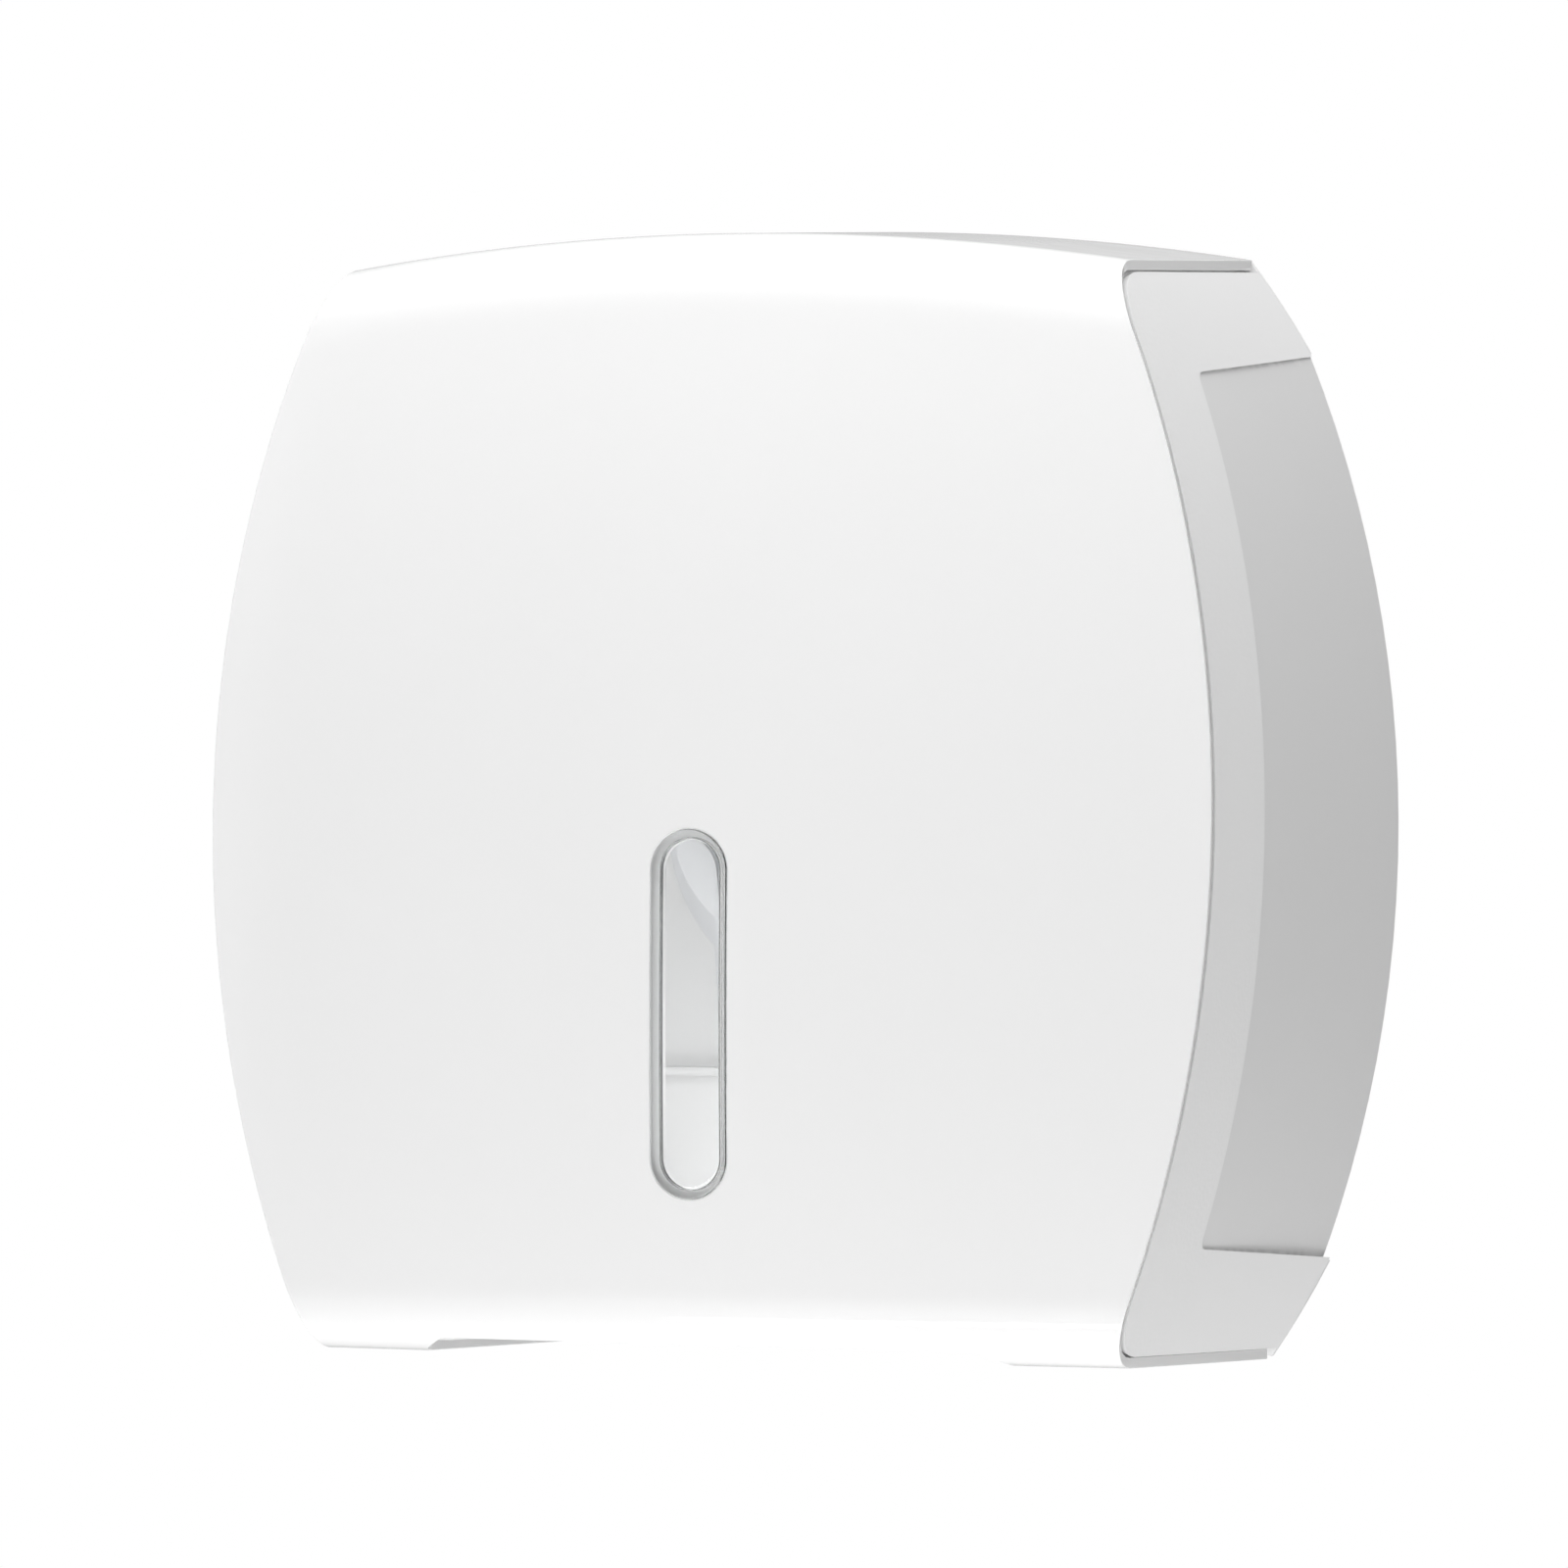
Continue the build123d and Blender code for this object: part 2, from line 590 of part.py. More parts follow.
def tear_bar(side):
    """Toothed steel strip along one end of the outlet, teeth towards the paper."""
    tip = OUTLET_HALF - TEAR_REACH
    root = tip + TOOTH_HEIGHT
    start = RAIL_START + TEAR_INSET
    teeth = int((RAIL_END - start) // TOOTH_PITCH)
    points = [(root + TEAR_WIDTH, start), (root, start)]
    for tooth in range(teeth):
        y = start + tooth * TOOTH_PITCH
        points.append((tip, y + TOOTH_PITCH / 2))
        points.append((root, y + TOOTH_PITCH))
    points.append((root + TEAR_WIDTH, start + teeth * TOOTH_PITCH))
    points = [(side * x, y) for x, y in points]
    strip = extrude(make_face(Polyline(*points, close=True)), TEAR_WALL)
    strip = Pos(0, 0, WALL + RAIL) * strip
    for y in TEAR_SCREWS_Y:
        strip -= bar_z(SCREW_R, 0, 20, side * RAIL_MIDDLE, y)
    return floor_frame() * strip


def tear_bar_screws():
    screws = []
    seat = WALL + RAIL + TEAR_WALL
    for side in (-1, 1):
        for y in TEAR_SCREWS_Y:
            x = side * RAIL_MIDDLE
            head = bar_z(SCREW_HEAD_R, seat, seat + SCREW_HEAD, x, y)
            shank = bar_z(SCREW_R, WALL, seat + SCREW_BITE, x, y)
            face = seat + SCREW_HEAD
            slot = brick(
                x - SCREW_HEAD_R, x + SCREW_HEAD_R, y - DRIVER_SLOT / 2, y + DRIVER_SLOT / 2,
                face - DRIVER_SLOT, face + DRIVER_SLOT,
            )
            screws.append(floor_frame() * (head + shank - slot))
    return screws


# ---- lock ----

BARREL_R = LOCK_R - BARREL_SHELL
BARREL_HEAD_R = BARREL_R + BARREL_HEAD_RIM
BARREL_TOP = LOCK_TOP - LOCK_SINK - BARREL_FLOOR
HOUSING_LOW = LOCK_TOP - LOCK_SINK - LOCK_FLANGE - LOCK_LENGTH
CAM_TOP = HOUSING_LOW - CAM_DROP
CAM_LOW = CAM_TOP - CAM_WALL


def lock_housing():
    top = LOCK_TOP - LOCK_SINK
    body = bar_z(LOCK_FLANGE_R, top - LOCK_FLANGE, top, 0, LOCK_Y)
    body += bar_z(LOCK_R, HOUSING_LOW, top - LOCK_FLANGE / 2, 0, LOCK_Y)
    body -= bar_z(BARREL_R + BARREL_FIT, HOUSING_LOW - 1, top + 1, 0, LOCK_Y)
    head_floor = BARREL_TOP - BARREL_HEAD - 2 * BARREL_FIT
    body -= bar_z(BARREL_HEAD_R + BARREL_FIT, head_floor, top + 1, 0, LOCK_Y)
    top_rings = body.edges().filter_by(GeomType.CIRCLE).group_by(Axis.Z)[-1]
    return chamfer(top_rings.sort_by(SortBy.RADIUS)[-1], LOCK_CHAMFER)


def lock_nut():
    high = LOCK_TOP - LOCK_BOSS
    hexagon = RegularPolygon(LOCK_R + LOCK_NUT_RIM, 6, major_radius=False)
    nut = Pos(0, LOCK_Y, high - LOCK_NUT) * extrude(hexagon, LOCK_NUT)
    return nut - bar_z(LOCK_R, high - 2 * LOCK_NUT, high + 1, 0, LOCK_Y)


def lock_barrel():
    barrel = bar_z(BARREL_R, CAM_TOP, BARREL_TOP - BARREL_HEAD / 2, 0, LOCK_Y)
    barrel += bar_z(BARREL_HEAD_R, BARREL_TOP - BARREL_HEAD, BARREL_TOP, 0, LOCK_Y)
    barrel -= Pos(0, LOCK_Y, BARREL_TOP) * Box(KEYWAY_WIDE, KEYWAY, 2 * KEYWAY_DEEP)
    return barrel - bar_z(CAM_SCREW_R, CAM_TOP - 1, CAM_TOP + CAM_SCREW, 0, LOCK_Y)


def lock_cam():
    """Steel arm under the barrel. At rest it is unlocked and points at the wall."""
    length = CAM_REACH + CAM_WIDTH / 2
    bar = Pos(length / 2 - CAM_WIDTH / 2, 0) * SlotOverall(length, CAM_WIDTH)
    outline = Circle(BARREL_R + CAM_EYE_RIM) + bar
    arm = Pos(0, LOCK_Y, CAM_LOW) * Rot(0, 0, 90) * extrude(outline, CAM_WALL)
    return arm - bar_z(CAM_SCREW_R, CAM_LOW - 1, CAM_TOP + 1, 0, LOCK_Y)


def cam_screw():
    low = CAM_LOW - CAM_HEAD
    head = bar_z(CAM_HEAD_R, low, CAM_LOW, 0, LOCK_Y)
    y0 = LOCK_Y - DRIVER_SLOT / 2
    y1 = LOCK_Y + DRIVER_SLOT / 2
    head -= brick(-CAM_HEAD_R, CAM_HEAD_R, y0, y1, low - DRIVER_SLOT, low + DRIVER_SLOT)
    return head + bar_z(CAM_SCREW_R, CAM_LOW - SCREW_BITE, CAM_TOP + CAM_SCREW, 0, LOCK_Y)


STRIKER_TOP = CAM_LOW - STRIKER_GAP
STRIKER_PAD_Y = -PAN_WALL - STRIKER_PAD
STRIKER_SCREWS_X = (STRIKER_X - STRIKER_SCREW_STEP, STRIKER_X + STRIKER_SCREW_STEP)
STRIKER_SCREW_Z = STRIKER_TOP - STRIKER_FOOT / 2 - 1.0


def striker():
    """Steel bracket on the wall plate: foot, tongue under the cam and lip in front of it."""
    x0 = STRIKER_X - STRIKER_WIDTH / 2
    x1 = STRIKER_X + STRIKER_WIDTH / 2
    lip_y = LOCK_Y - CAM_WIDTH / 2 - STRIKER_GAP
    low = STRIKER_TOP - STRIKER_WALL
    foot_z = STRIKER_TOP - STRIKER_FOOT
    body = brick(x0, x1, STRIKER_PAD_Y, STRIKER_PAD_Y - STRIKER_WALL, foot_z, STRIKER_TOP)
    body += brick(x0, x1, STRIKER_PAD_Y, lip_y - STRIKER_WALL, low, STRIKER_TOP)
    body += brick(x0, x1, lip_y, lip_y - STRIKER_WALL, low, low + STRIKER_LIP)
    for x in STRIKER_SCREWS_X:
        body -= bar_y(SCREW_R, 0, -20, x, STRIKER_SCREW_Z)
    return body


def plate_screw(x, z, seat):
    """Slotted screw through what lies on the pan, into the wall plate."""
    face = seat - SCREW_HEAD
    half = DRIVER_SLOT / 2
    head = bar_y(SCREW_HEAD_R, seat, face, x, z)
    reach = SCREW_HEAD_R
    head -= brick(x - reach, x + reach, face - DRIVER_SLOT, face + DRIVER_SLOT, z - half, z + half)
    return head + bar_y(SCREW_R, -BLIND, seat - SCREW_BITE, x, z)


def striker_screws():
    return [plate_screw(x, STRIKER_SCREW_Z, STRIKER_PAD_Y - STRIKER_WALL) for x in STRIKER_SCREWS_X]


# ---- spindle and hub ----

SPINDLE_SCREW_REACH = SPINDLE_FOOT_R - SPINDLE_SCREW_SET
KEEPER_R = SPINDLE_R + KEEPER_RIM
HUB_BACK = SEAT_Y - SPINDLE_FOOT - THRUST - AXIAL_GAP


def around(count, radius):
    """Places evenly spaced on a circle about the spindle, from the top."""
    turns = [math.radians(90 + 360 * i / count) for i in range(count)]
    return [(radius * math.cos(t), radius * math.sin(t)) for t in turns]


def spindle():
    body = bar_y(SPINDLE_FOOT_R, SEAT_Y, SEAT_Y - SPINDLE_FOOT, 0, 0)
    body += bar_y(SPINDLE_R, SEAT_Y, KEEPER_Y - AXIAL_GAP, 0, 0)
    body -= bar_y(KEEPER_SCREW_R, KEEPER_Y + KEEPER_SCREW + 1, KEEPER_Y - 5, 0, 0)
    for x, z in around(SPINDLE_SCREWS, SPINDLE_SCREW_REACH):
        body -= bar_y(SCREW_R, 0, -30, x, z)
        body -= bar_y(SCREW_HEAD_R + FIT_GAP, SEAT_Y - SPINDLE_FOOT + SPINDLE_SINK, -30, x, z)
    return body


def spindle_screws():
    seat = SEAT_Y - SPINDLE_FOOT
    screws = []
    for x, z in around(SPINDLE_SCREWS, SPINDLE_SCREW_REACH):
        head = bar_y(SCREW_HEAD_R, seat + SPINDLE_SINK, seat + AXIAL_GAP, x, z)
        screws.append(head + bar_y(SCREW_R, -BLIND, seat + SPINDLE_SINK / 2, x, z))
    return screws


def thrust_washer():
    start = SEAT_Y - SPINDLE_FOOT
    return bar_y(SPINDLE_R + THRUST_RIM, start, start - THRUST, 0, 0) - bar_y(SPINDLE_R, 0, -BIG, 0, 0)


def roll_hub():
    """Moulded drum that carries the roll's core: flange, shell, sleeve, ribs and a pocketed nose."""
    bore = SPINDLE_R + HUB_FIT
    pocket = KEEPER_R + HUB_POCKET_GAP
    drum = bar_y(HUB_FLANGE_R, HUB_BACK, HUB_BACK - HUB_FLANGE, 0, 0)
    drum += bar_y(HUB_R, HUB_BACK, HUB_FRONT_Y, 0, 0)
    pocket_floor = KEEPER_Y + HUB_WALL
    nose = bar_y(pocket + HUB_WALL, pocket_floor, HUB_FRONT_Y, 0, 0)
    hollow = bar_y(HUB_R - HUB_WALL, HUB_BACK + 1, HUB_FRONT_Y + HUB_WALL, 0, 0) - nose
    hollow -= bar_y(bore + HUB_SLEEVE, 0, -BIG, 0, 0)
    for i in range(HUB_RIBS):
        rib = brick(0, HUB_R, HUB_BACK, HUB_FRONT_Y, -HUB_WALL / 2, HUB_WALL / 2)
        hollow -= rib.rotate(Axis.Y, 360 * i / HUB_RIBS)
    drum -= hollow
    drum -= bar_y(pocket, KEEPER_Y, HUB_FRONT_Y - 1, 0, 0)
    drum -= bar_y(bore, 0, -BIG, 0, 0)
    return drum


def keeper_washer():
    start = KEEPER_Y - AXIAL_GAP
    return bar_y(KEEPER_R, start, start - KEEPER, 0, 0) - bar_y(KEEPER_SCREW_R, 0, -BIG, 0, 0)


def keeper_screw():
    seat = KEEPER_Y - AXIAL_GAP - KEEPER
    face = seat - KEEPER_HEAD
    half = KEEPER_CROSS / 2
    arm = KEEPER_HEAD_R - KEEPER_CROSS
    head = bar_y(KEEPER_HEAD_R, seat, face, 0, 0)
    head -= brick(-arm, arm, face - 1, face + KEEPER_CROSS_DEPTH, -half, half)
    head -= brick(-half, half, face - 1, face + KEEPER_CROSS_DEPTH, -arm, arm)
    return head + bar_y(KEEPER_SCREW_R, seat - SCREW_BITE, seat + KEEPER_SCREW, 0, 0)


BRAKE_TIP_X = HUB_FLANGE_R - BRAKE_LAP
BRAKE_FOOT_X = HUB_FLANGE_R + BRAKE_CLEAR
BRAKE_SCREW_X = BRAKE_FOOT_X + BRAKE_FOOT / 2


def brake_spring():
    """Leaf spring from the pan up to the back of the hub's flange."""
    high = HUB_BACK + BRAKE_GAP + BRAKE_WALL
    low = -PAN_WALL
    foot = [(BRAKE_FOOT_X + BRAKE_FOOT, low), (BRAKE_FOOT_X, low)]
    points = foot + [(BRAKE_TIP_X + BRAKE_FLAT, high), (BRAKE_TIP_X, high)]
    outline = points + [(x, y - BRAKE_WALL) for x, y in reversed(points)]
    strip = extrude(make_face(Polyline(*outline, close=True)), BRAKE_WIDTH / 2, both=True)
    return strip - bar_y(SCREW_R, 0, -20, BRAKE_SCREW_X, 0)


def brake_screw():
    return plate_screw(BRAKE_SCREW_X, 0, -PAN_WALL - BRAKE_WALL)


# ---- wall plate ----

def wall_plate():
    """Back moulding: edge flange, pan with rim and ribs, spindle seat, screw slots and hinge lugs."""
    form = housing(PAN_INSET)
    above = brick(-BIG, BIG, -BIG, BIG, PAN_LOW_Z, BIG)
    plate = housing(PLATE_EDGE) & brick(-BIG, BIG, 0, -PLATE_FLANGE, -BIG, BIG)
    plate += form & above & brick(-BIG, BIG, 0, -PAN_WALL, -BIG, BIG)
    within_rim = housing(PAN_INSET + RIM_WALL) & brick(-BIG, BIG, -BIG, BIG, PAN_LOW_Z + RIM_WALL, BIG)
    plate += ((form & above) - within_rim) & brick(-BIG, BIG, 0, -RIM_DEPTH, -BIG, BIG)
    rib_x = BRAKE_FOOT_X + BRAKE_FOOT + RIB_WALL
    rib_z = SLOT_Z - RIB_SET
    for side in (-1, 1):
        upright = brick(side * rib_x, side * (rib_x + RIB_WALL), 0, -RIB_DEPTH, -BIG, BIG)
        level = brick(-BIG, BIG, 0, -RIB_DEPTH, side * rib_z, side * (rib_z + RIB_WALL))
        plate += (upright + level) & form & above
    plate += bar_y(SPINDLE_FOOT_R + SEAT_MARGIN, 0, SEAT_Y, 0, 0)
    pad_half = STRIKER_WIDTH / 2 + STRIKER_PAD
    plate += brick(
        STRIKER_X - pad_half, STRIKER_X + pad_half, 0, STRIKER_PAD_Y,
        STRIKER_TOP - STRIKER_FOOT - STRIKER_PAD, STRIKER_TOP + STRIKER_PAD,
    )
    for side in (-1, 1):
        lug_x = side * LUG_X
        arm = Polyline(
            (0, HINGE_Z - LUG_R), (HINGE_Y, HINGE_Z - LUG_R), (HINGE_Y - LUG_R, HINGE_Z),
            (HINGE_Y - LUG_R, PAN_LOW_Z + RIM_WALL), (0, PAN_LOW_Z + RIM_WALL), close=True,
        )
        lug = extrude(Plane.YZ * make_face(arm), LUG_WALL / 2, both=True)
        eye = bar_x(LUG_R, lug_x - LUG_WALL / 2, lug_x + LUG_WALL / 2, HINGE_Y, HINGE_Z)
        plate += Pos(lug_x, 0, 0) * lug + eye
        plate -= bar_x(PIN_R, lug_x - LUG_WALL, lug_x + LUG_WALL, HINGE_Y, HINGE_Z)
    for x in (-SLOT_X, SLOT_X):
        for z in (-SLOT_Z, SLOT_Z):
            plate += bar_y(SLOT_BOSS_R, 0, -PAN_WALL - SLOT_BOSS, x, z)
    for x in (-SLOT_X, SLOT_X):
        for z in (-SLOT_Z, SLOT_Z):
            slot = extrude(across(5) * Pos(x, z) * SlotOverall(SLOT_LENGTH, 2 * SLOT_R), 30)
            plate -= slot
    for x, z in around(SPINDLE_SCREWS, SPINDLE_SCREW_REACH):
        plate -= bar_y(SCREW_R, -BLIND, -30, x, z)
    for x in STRIKER_SCREWS_X:
        plate -= bar_y(SCREW_R, -BLIND, -20, x, STRIKER_SCREW_Z)
    return plate - bar_y(SCREW_R, -BLIND, -20, BRAKE_SCREW_X, 0)


def hinge_pins():
    pins = []
    for side in (-1, 1):
        inner = LUG_X - LUG_WALL / 2
        pin = bar_x(PIN_R, side * inner, side * (EAR_X + EAR_WALL / 2 + PIN_END), HINGE_Y, HINGE_Z)
        pins.append(pin + bar_x(PIN_HEAD_R, side * (inner - PIN_HEAD), side * inner, HINGE_Y, HINGE_Z))
    return pins


def group(pieces):
    return Compound(children=[piece.solids()[0] for piece in pieces])


def main():
    os.makedirs("parts", exist_ok=True)
    left_panel, right_panel = side_panels()
    nodes = {
        "wall_plate": wall_plate(),
        "spindle": spindle(),
        "spindle_screws": group(spindle_screws()),
        "thrust_washer": thrust_washer(),
        "roll_hub": roll_hub(),
        "keeper_washer": keeper_washer(),
        "keeper_screw": keeper_screw(),
        "brake_spring": brake_spring(),
        "brake_screw": brake_screw(),
        "striker": striker(),
        "striker_screws": group(striker_screws()),
        "hinge_pins": group(hinge_pins()),
        "front_cover": front_cover(),
        "left_side_panel": left_panel,
        "right_side_panel": right_panel,
        "panel_screws": group(panel_screws()),
        "window_lens": window_lens(),
        "window_frame": window_frame(),
        "window_screws": group(window_screws()),
        "left_tear_bar": tear_bar(-1),
        "right_tear_bar": tear_bar(1),
        "tear_bar_screws": group(tear_bar_screws()),
        "lock_housing": lock_housing(),
        "lock_nut": lock_nut(),
        "lock_barrel": lock_barrel(),
        "lock_cam": lock_cam(),
        "cam_screw": cam_screw(),
    }
    for name, shape in nodes.items():
        export_step(whole(shape), f"parts/{name}.step")


main()
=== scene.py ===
import math

import bmesh
import bpy
import numpy as np
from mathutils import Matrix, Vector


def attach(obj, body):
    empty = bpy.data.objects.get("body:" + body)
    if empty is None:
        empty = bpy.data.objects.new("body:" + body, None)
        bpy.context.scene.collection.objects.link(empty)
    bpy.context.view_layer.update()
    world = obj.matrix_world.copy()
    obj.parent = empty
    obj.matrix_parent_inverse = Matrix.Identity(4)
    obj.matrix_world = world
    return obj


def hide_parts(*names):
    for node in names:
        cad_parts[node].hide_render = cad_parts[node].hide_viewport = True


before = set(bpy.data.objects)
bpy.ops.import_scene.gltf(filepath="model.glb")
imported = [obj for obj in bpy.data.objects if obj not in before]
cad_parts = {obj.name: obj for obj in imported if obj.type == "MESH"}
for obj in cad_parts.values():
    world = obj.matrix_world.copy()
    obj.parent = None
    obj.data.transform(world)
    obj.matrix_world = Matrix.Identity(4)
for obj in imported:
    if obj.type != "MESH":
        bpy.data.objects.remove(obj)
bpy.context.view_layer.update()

# ---- wall plate ----
# The back of the dispenser: one satin white ABS moulding with an edge flange, a ribbed pan, a raised
# seat for the spindle, four slots for the wall screws and two lugs for the hinge pins.


def linear(hex_colour):
    """sRGB hex colour as linear red, green, blue and alpha: each channel raised by the sRGB curve."""
    channels = [int(hex_colour[i:i + 2], 16) / 255 for i in (0, 2, 4)]
    return [c / 12.92 if c <= 0.04045 else ((c + 0.055) / 1.055) ** 2.4 for c in channels] + [1.0]


def add(tree, kind, links=(), **settings):
    """Adds a node. Settings name its properties or, by socket, its inputs; links are (output, input)."""
    node = tree.nodes.new(kind)
    for name, value in settings.items():
        if hasattr(node, name):
            setattr(node, name, value)
        else:
            node.inputs[name.replace("_", " ")].default_value = value
    for source, target in links:
        tree.links.new(source, node.inputs[target])
    return node


def start_material(name, **surface):
    """New material with a Principled surface, its node tree, the shader and the object coordinates."""
    material = bpy.data.materials.new(name)
    material.use_nodes = True
    tree = material.node_tree
    tree.nodes.clear()
    shader = tree.nodes.new("ShaderNodeBsdfPrincipled")
    for socket, value in surface.items():
        shader.inputs[socket.replace("_", " ")].default_value = value
    add(tree, "ShaderNodeOutputMaterial", [(shader.outputs[0], "Surface")])
    place = tree.nodes.new("ShaderNodeTexCoord").outputs["Object"]
    return material, tree, shader, place


def ramp(tree, source, low, high):
    """Colour ramp between two sRGB colours."""
    node = add(tree, "ShaderNodeValToRGB", [(source, "Fac")])
    node.color_ramp.elements[0].color = linear(low)
    node.color_ramp.elements[1].color = linear(high)
    return node.outputs["Color"]


def gloss_between(tree, shader, source, low, high):
    """Roughness that follows a pattern from one value to another."""
    gloss = add(tree, "ShaderNodeMapRange", [(source, "Value")], To_Min=low, To_Max=high)
    tree.links.new(gloss.outputs["Result"], shader.inputs["Roughness"])


def relief(tree, shader, height, strength, distance):
    """Fine relief: a height pattern as bump, its full height a distance in metres."""
    bump = add(tree, "ShaderNodeBump", [(height, "Height")], Strength=strength, Distance=distance)
    tree.links.new(bump.outputs["Normal"], shader.inputs["Normal"])


def moulded_satin(name, low, high, roughness):
    """Satin ABS off a spark-eroded tool: an even fine grain of 0.35 mm, drawn a little coarse so that it
    shows, and a faint slow change of tone where the melt met the tool at different heat."""
    material, tree, shader, place = start_material(name, IOR=1.54)
    tone = add(tree, "ShaderNodeTexNoise", [(place, "Vector")], Scale=18.0, Detail=2.0)
    tree.links.new(ramp(tree, tone.outputs["Fac"], low, high), shader.inputs["Base Color"])
    grain = add(tree, "ShaderNodeTexNoise", [(place, "Vector")], Scale=1 / 0.00035, Detail=3.0)
    gloss_between(tree, shader, grain.outputs["Fac"], roughness - 0.06, roughness + 0.08)
    relief(tree, shader, grain.outputs["Fac"], 0.25, 0.00004)
    return material


def smooth_faces(mesh):
    """Smooth shading on every face."""
    mesh.polygons.foreach_set("use_smooth", np.ones(len(mesh.polygons), dtype=bool))


def round_edges(piece, width, segments=2, angle=32):
    """Rounds every edge sharper than an angle in degrees, width in mm, flats kept flat in shading."""
    bevel = piece.modifiers.new("rounded_edges", "BEVEL")
    bevel.width = width / 1000
    bevel.segments = segments
    bevel.limit_method = "ANGLE"
    bevel.angle_limit = math.radians(angle)
    bevel.use_clamp_overlap = True
    bevel.harden_normals = True
    smooth_faces(piece.data)


def merged_copy(node):
    """The loose triangles of a CAD mesh as one joined bmesh, flat regions dissolved to whole faces."""
    shape = bmesh.new()
    shape.from_mesh(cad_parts[node].data)
    bmesh.ops.remove_doubles(shape, verts=shape.verts, dist=0.000004)
    bmesh.ops.dissolve_degenerate(shape, edges=shape.edges, dist=0.000002)
    bmesh.ops.dissolve_limit(shape, angle_limit=math.radians(0.6), verts=shape.verts, edges=shape.edges)
    return shape


def place_piece(piece, material, body, slot, *nodes):
    """Gives a piece its material, the body it moves with and the CAD nodes it stands for, which it hides.
    The slot argument is not used.
    """
    piece.data.materials.clear()
    piece.data.materials.append(material)
    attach(piece, body)
    if nodes:
        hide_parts(*nodes)
    return piece


def refine(node, name, material, body, slot, edge=0.25, segments=2):
    """Finished piece from a CAD node: joined, its edges rounded as the tool or the tumbler leaves them."""
    shape = merged_copy(node)
    mesh = bpy.data.meshes.new(name)
    shape.to_mesh(mesh)
    shape.free()
    piece = bpy.data.objects.new(name, mesh)
    bpy.context.scene.collection.objects.link(piece)
    round_edges(piece, edge, segments)
    return place_piece(piece, material, body, slot, node)


abs_satin_white = moulded_satin("abs_satin_white", "EBEBEB", "F0F0F0", 0.42)
refine("wall_plate", "wall_plate_moulding", abs_satin_white, "root", "plate_abs", edge=0.35)

# ---- spindle and its screws ----
# A satin white ABS stub on a round foot, held to the wall plate by three zinc-plated screws whose heads
# lie in counterbores.

refine("spindle", "spindle_stub", abs_satin_white, "root", "plate_abs", edge=0.4, segments=3)


def plated_steel(name, low, high, roughness, grain):
    """Barrel-plated steel: dull bright metal, a soft mottle of 1.5 mm and fine tumbling scratches."""
    material, tree, shader, place = start_material(name, Metallic=1.0)
    mottle = add(
        tree, "ShaderNodeTexNoise", [(place, "Vector")], Scale=1 / 0.0015, Detail=4.0, Roughness=0.6,
    )
    tree.links.new(ramp(tree, mottle.outputs["Fac"], low, high), shader.inputs["Base Color"])
    gloss_between(tree, shader, mottle.outputs["Fac"], roughness - 0.08, roughness + 0.1)
    fine = add(tree, "ShaderNodeTexNoise", [(place, "Vector")], Scale=1 / grain, Detail=2.0)
    relief(tree, shader, fine.outputs["Fac"], 0.2, 0.00002)
    return material


steel_zinc_plated = plated_steel("steel_zinc_plated", "B4B8BC", "D2D5D6", 0.34, 0.00025)
refine("spindle_screws", "spindle_screw_set", steel_zinc_plated, "root", "zinc_steel", edge=0.2)

# ---- thrust washer ----
# A flat natural acetal ring on the foot of the spindle, which the hub turns against.

acetal_natural = moulded_satin("acetal_natural", "E6E3DA", "EDEAE2", 0.33)
refine("thrust_washer", "thrust_washer_ring", acetal_natural, "root", "washer_acetal", edge=0.15)

# ---- roll hub ----
# A pale grey ABS drum with a flange, six ribs inside and a pocketed nose. It carries the roll's core.

abs_satin_grey = moulded_satin("abs_satin_grey", "D5D6D8", "DCDDDF", 0.38)
refine("roll_hub", "roll_hub_drum", abs_satin_grey, "hub", "hub_abs", edge=0.45, segments=3)

# ---- keeper ----
# A zinc-plated washer and a cross-recessed screw hold the hub on the spindle.

refine("keeper_washer", "keeper_washer_disc", steel_zinc_plated, "root", "zinc_steel", edge=0.2)
refine("keeper_screw", "keeper_screw_cross", steel_zinc_plated, "root", "zinc_steel", edge=0.4, segments=3)

# ---- brake spring ----
# A stainless leaf screwed to the pan. It bears on the back of the hub's flange and stops it overrunning.


def rolled_stainless(name):
    """Cold-rolled stainless strip: mirror-grey metal with straight rolling lines 0.2 mm apart along Y."""
    material, tree, shader, place = start_material(name, Metallic=1.0)
    stretch = add(tree, "ShaderNodeMapping", [(place, "Vector")], Scale=(1.0, 0.04, 1.0))
    lines = add(
        tree, "ShaderNodeTexNoise", [(stretch.outputs["Vector"], "Vector")], Scale=1 / 0.0002, Detail=3.0,
    )
    tree.links.new(ramp(tree, lines.outputs["Fac"], "A3A4A6", "C9CACB"), shader.inputs["Base Color"])
    gloss_between(tree, shader, lines.outputs["Fac"], 0.2, 0.38)
    relief(tree, shader, lines.outputs["Fac"], 0.2, 0.00002)
    return material


stainless_rolled = rolled_stainless("stainless_rolled")
refine("brake_spring", "brake_spring_leaf", stainless_rolled, "root", "stainless", edge=0.12)
refine("brake_screw", "brake_screw_slotted", steel_zinc_plated, "root", "zinc_steel", edge=0.25)

# ---- striker ----
# A bent zinc-plated steel bracket that the lock's cam swings under, with its two screws.

refine("striker", "striker_bracket", steel_zinc_plated, "root", "zinc_steel", edge=0.25)
refine("striker_screws", "striker_screw_pair", steel_zinc_plated, "root", "zinc_steel", edge=0.25)

# ---- hinge pins ----
# Two headed stainless pins, pressed into the wall plate's lugs, that the cover's ears turn on.

refine("hinge_pins", "hinge_pin_pair", stainless_rolled, "root", "stainless", edge=0.25)

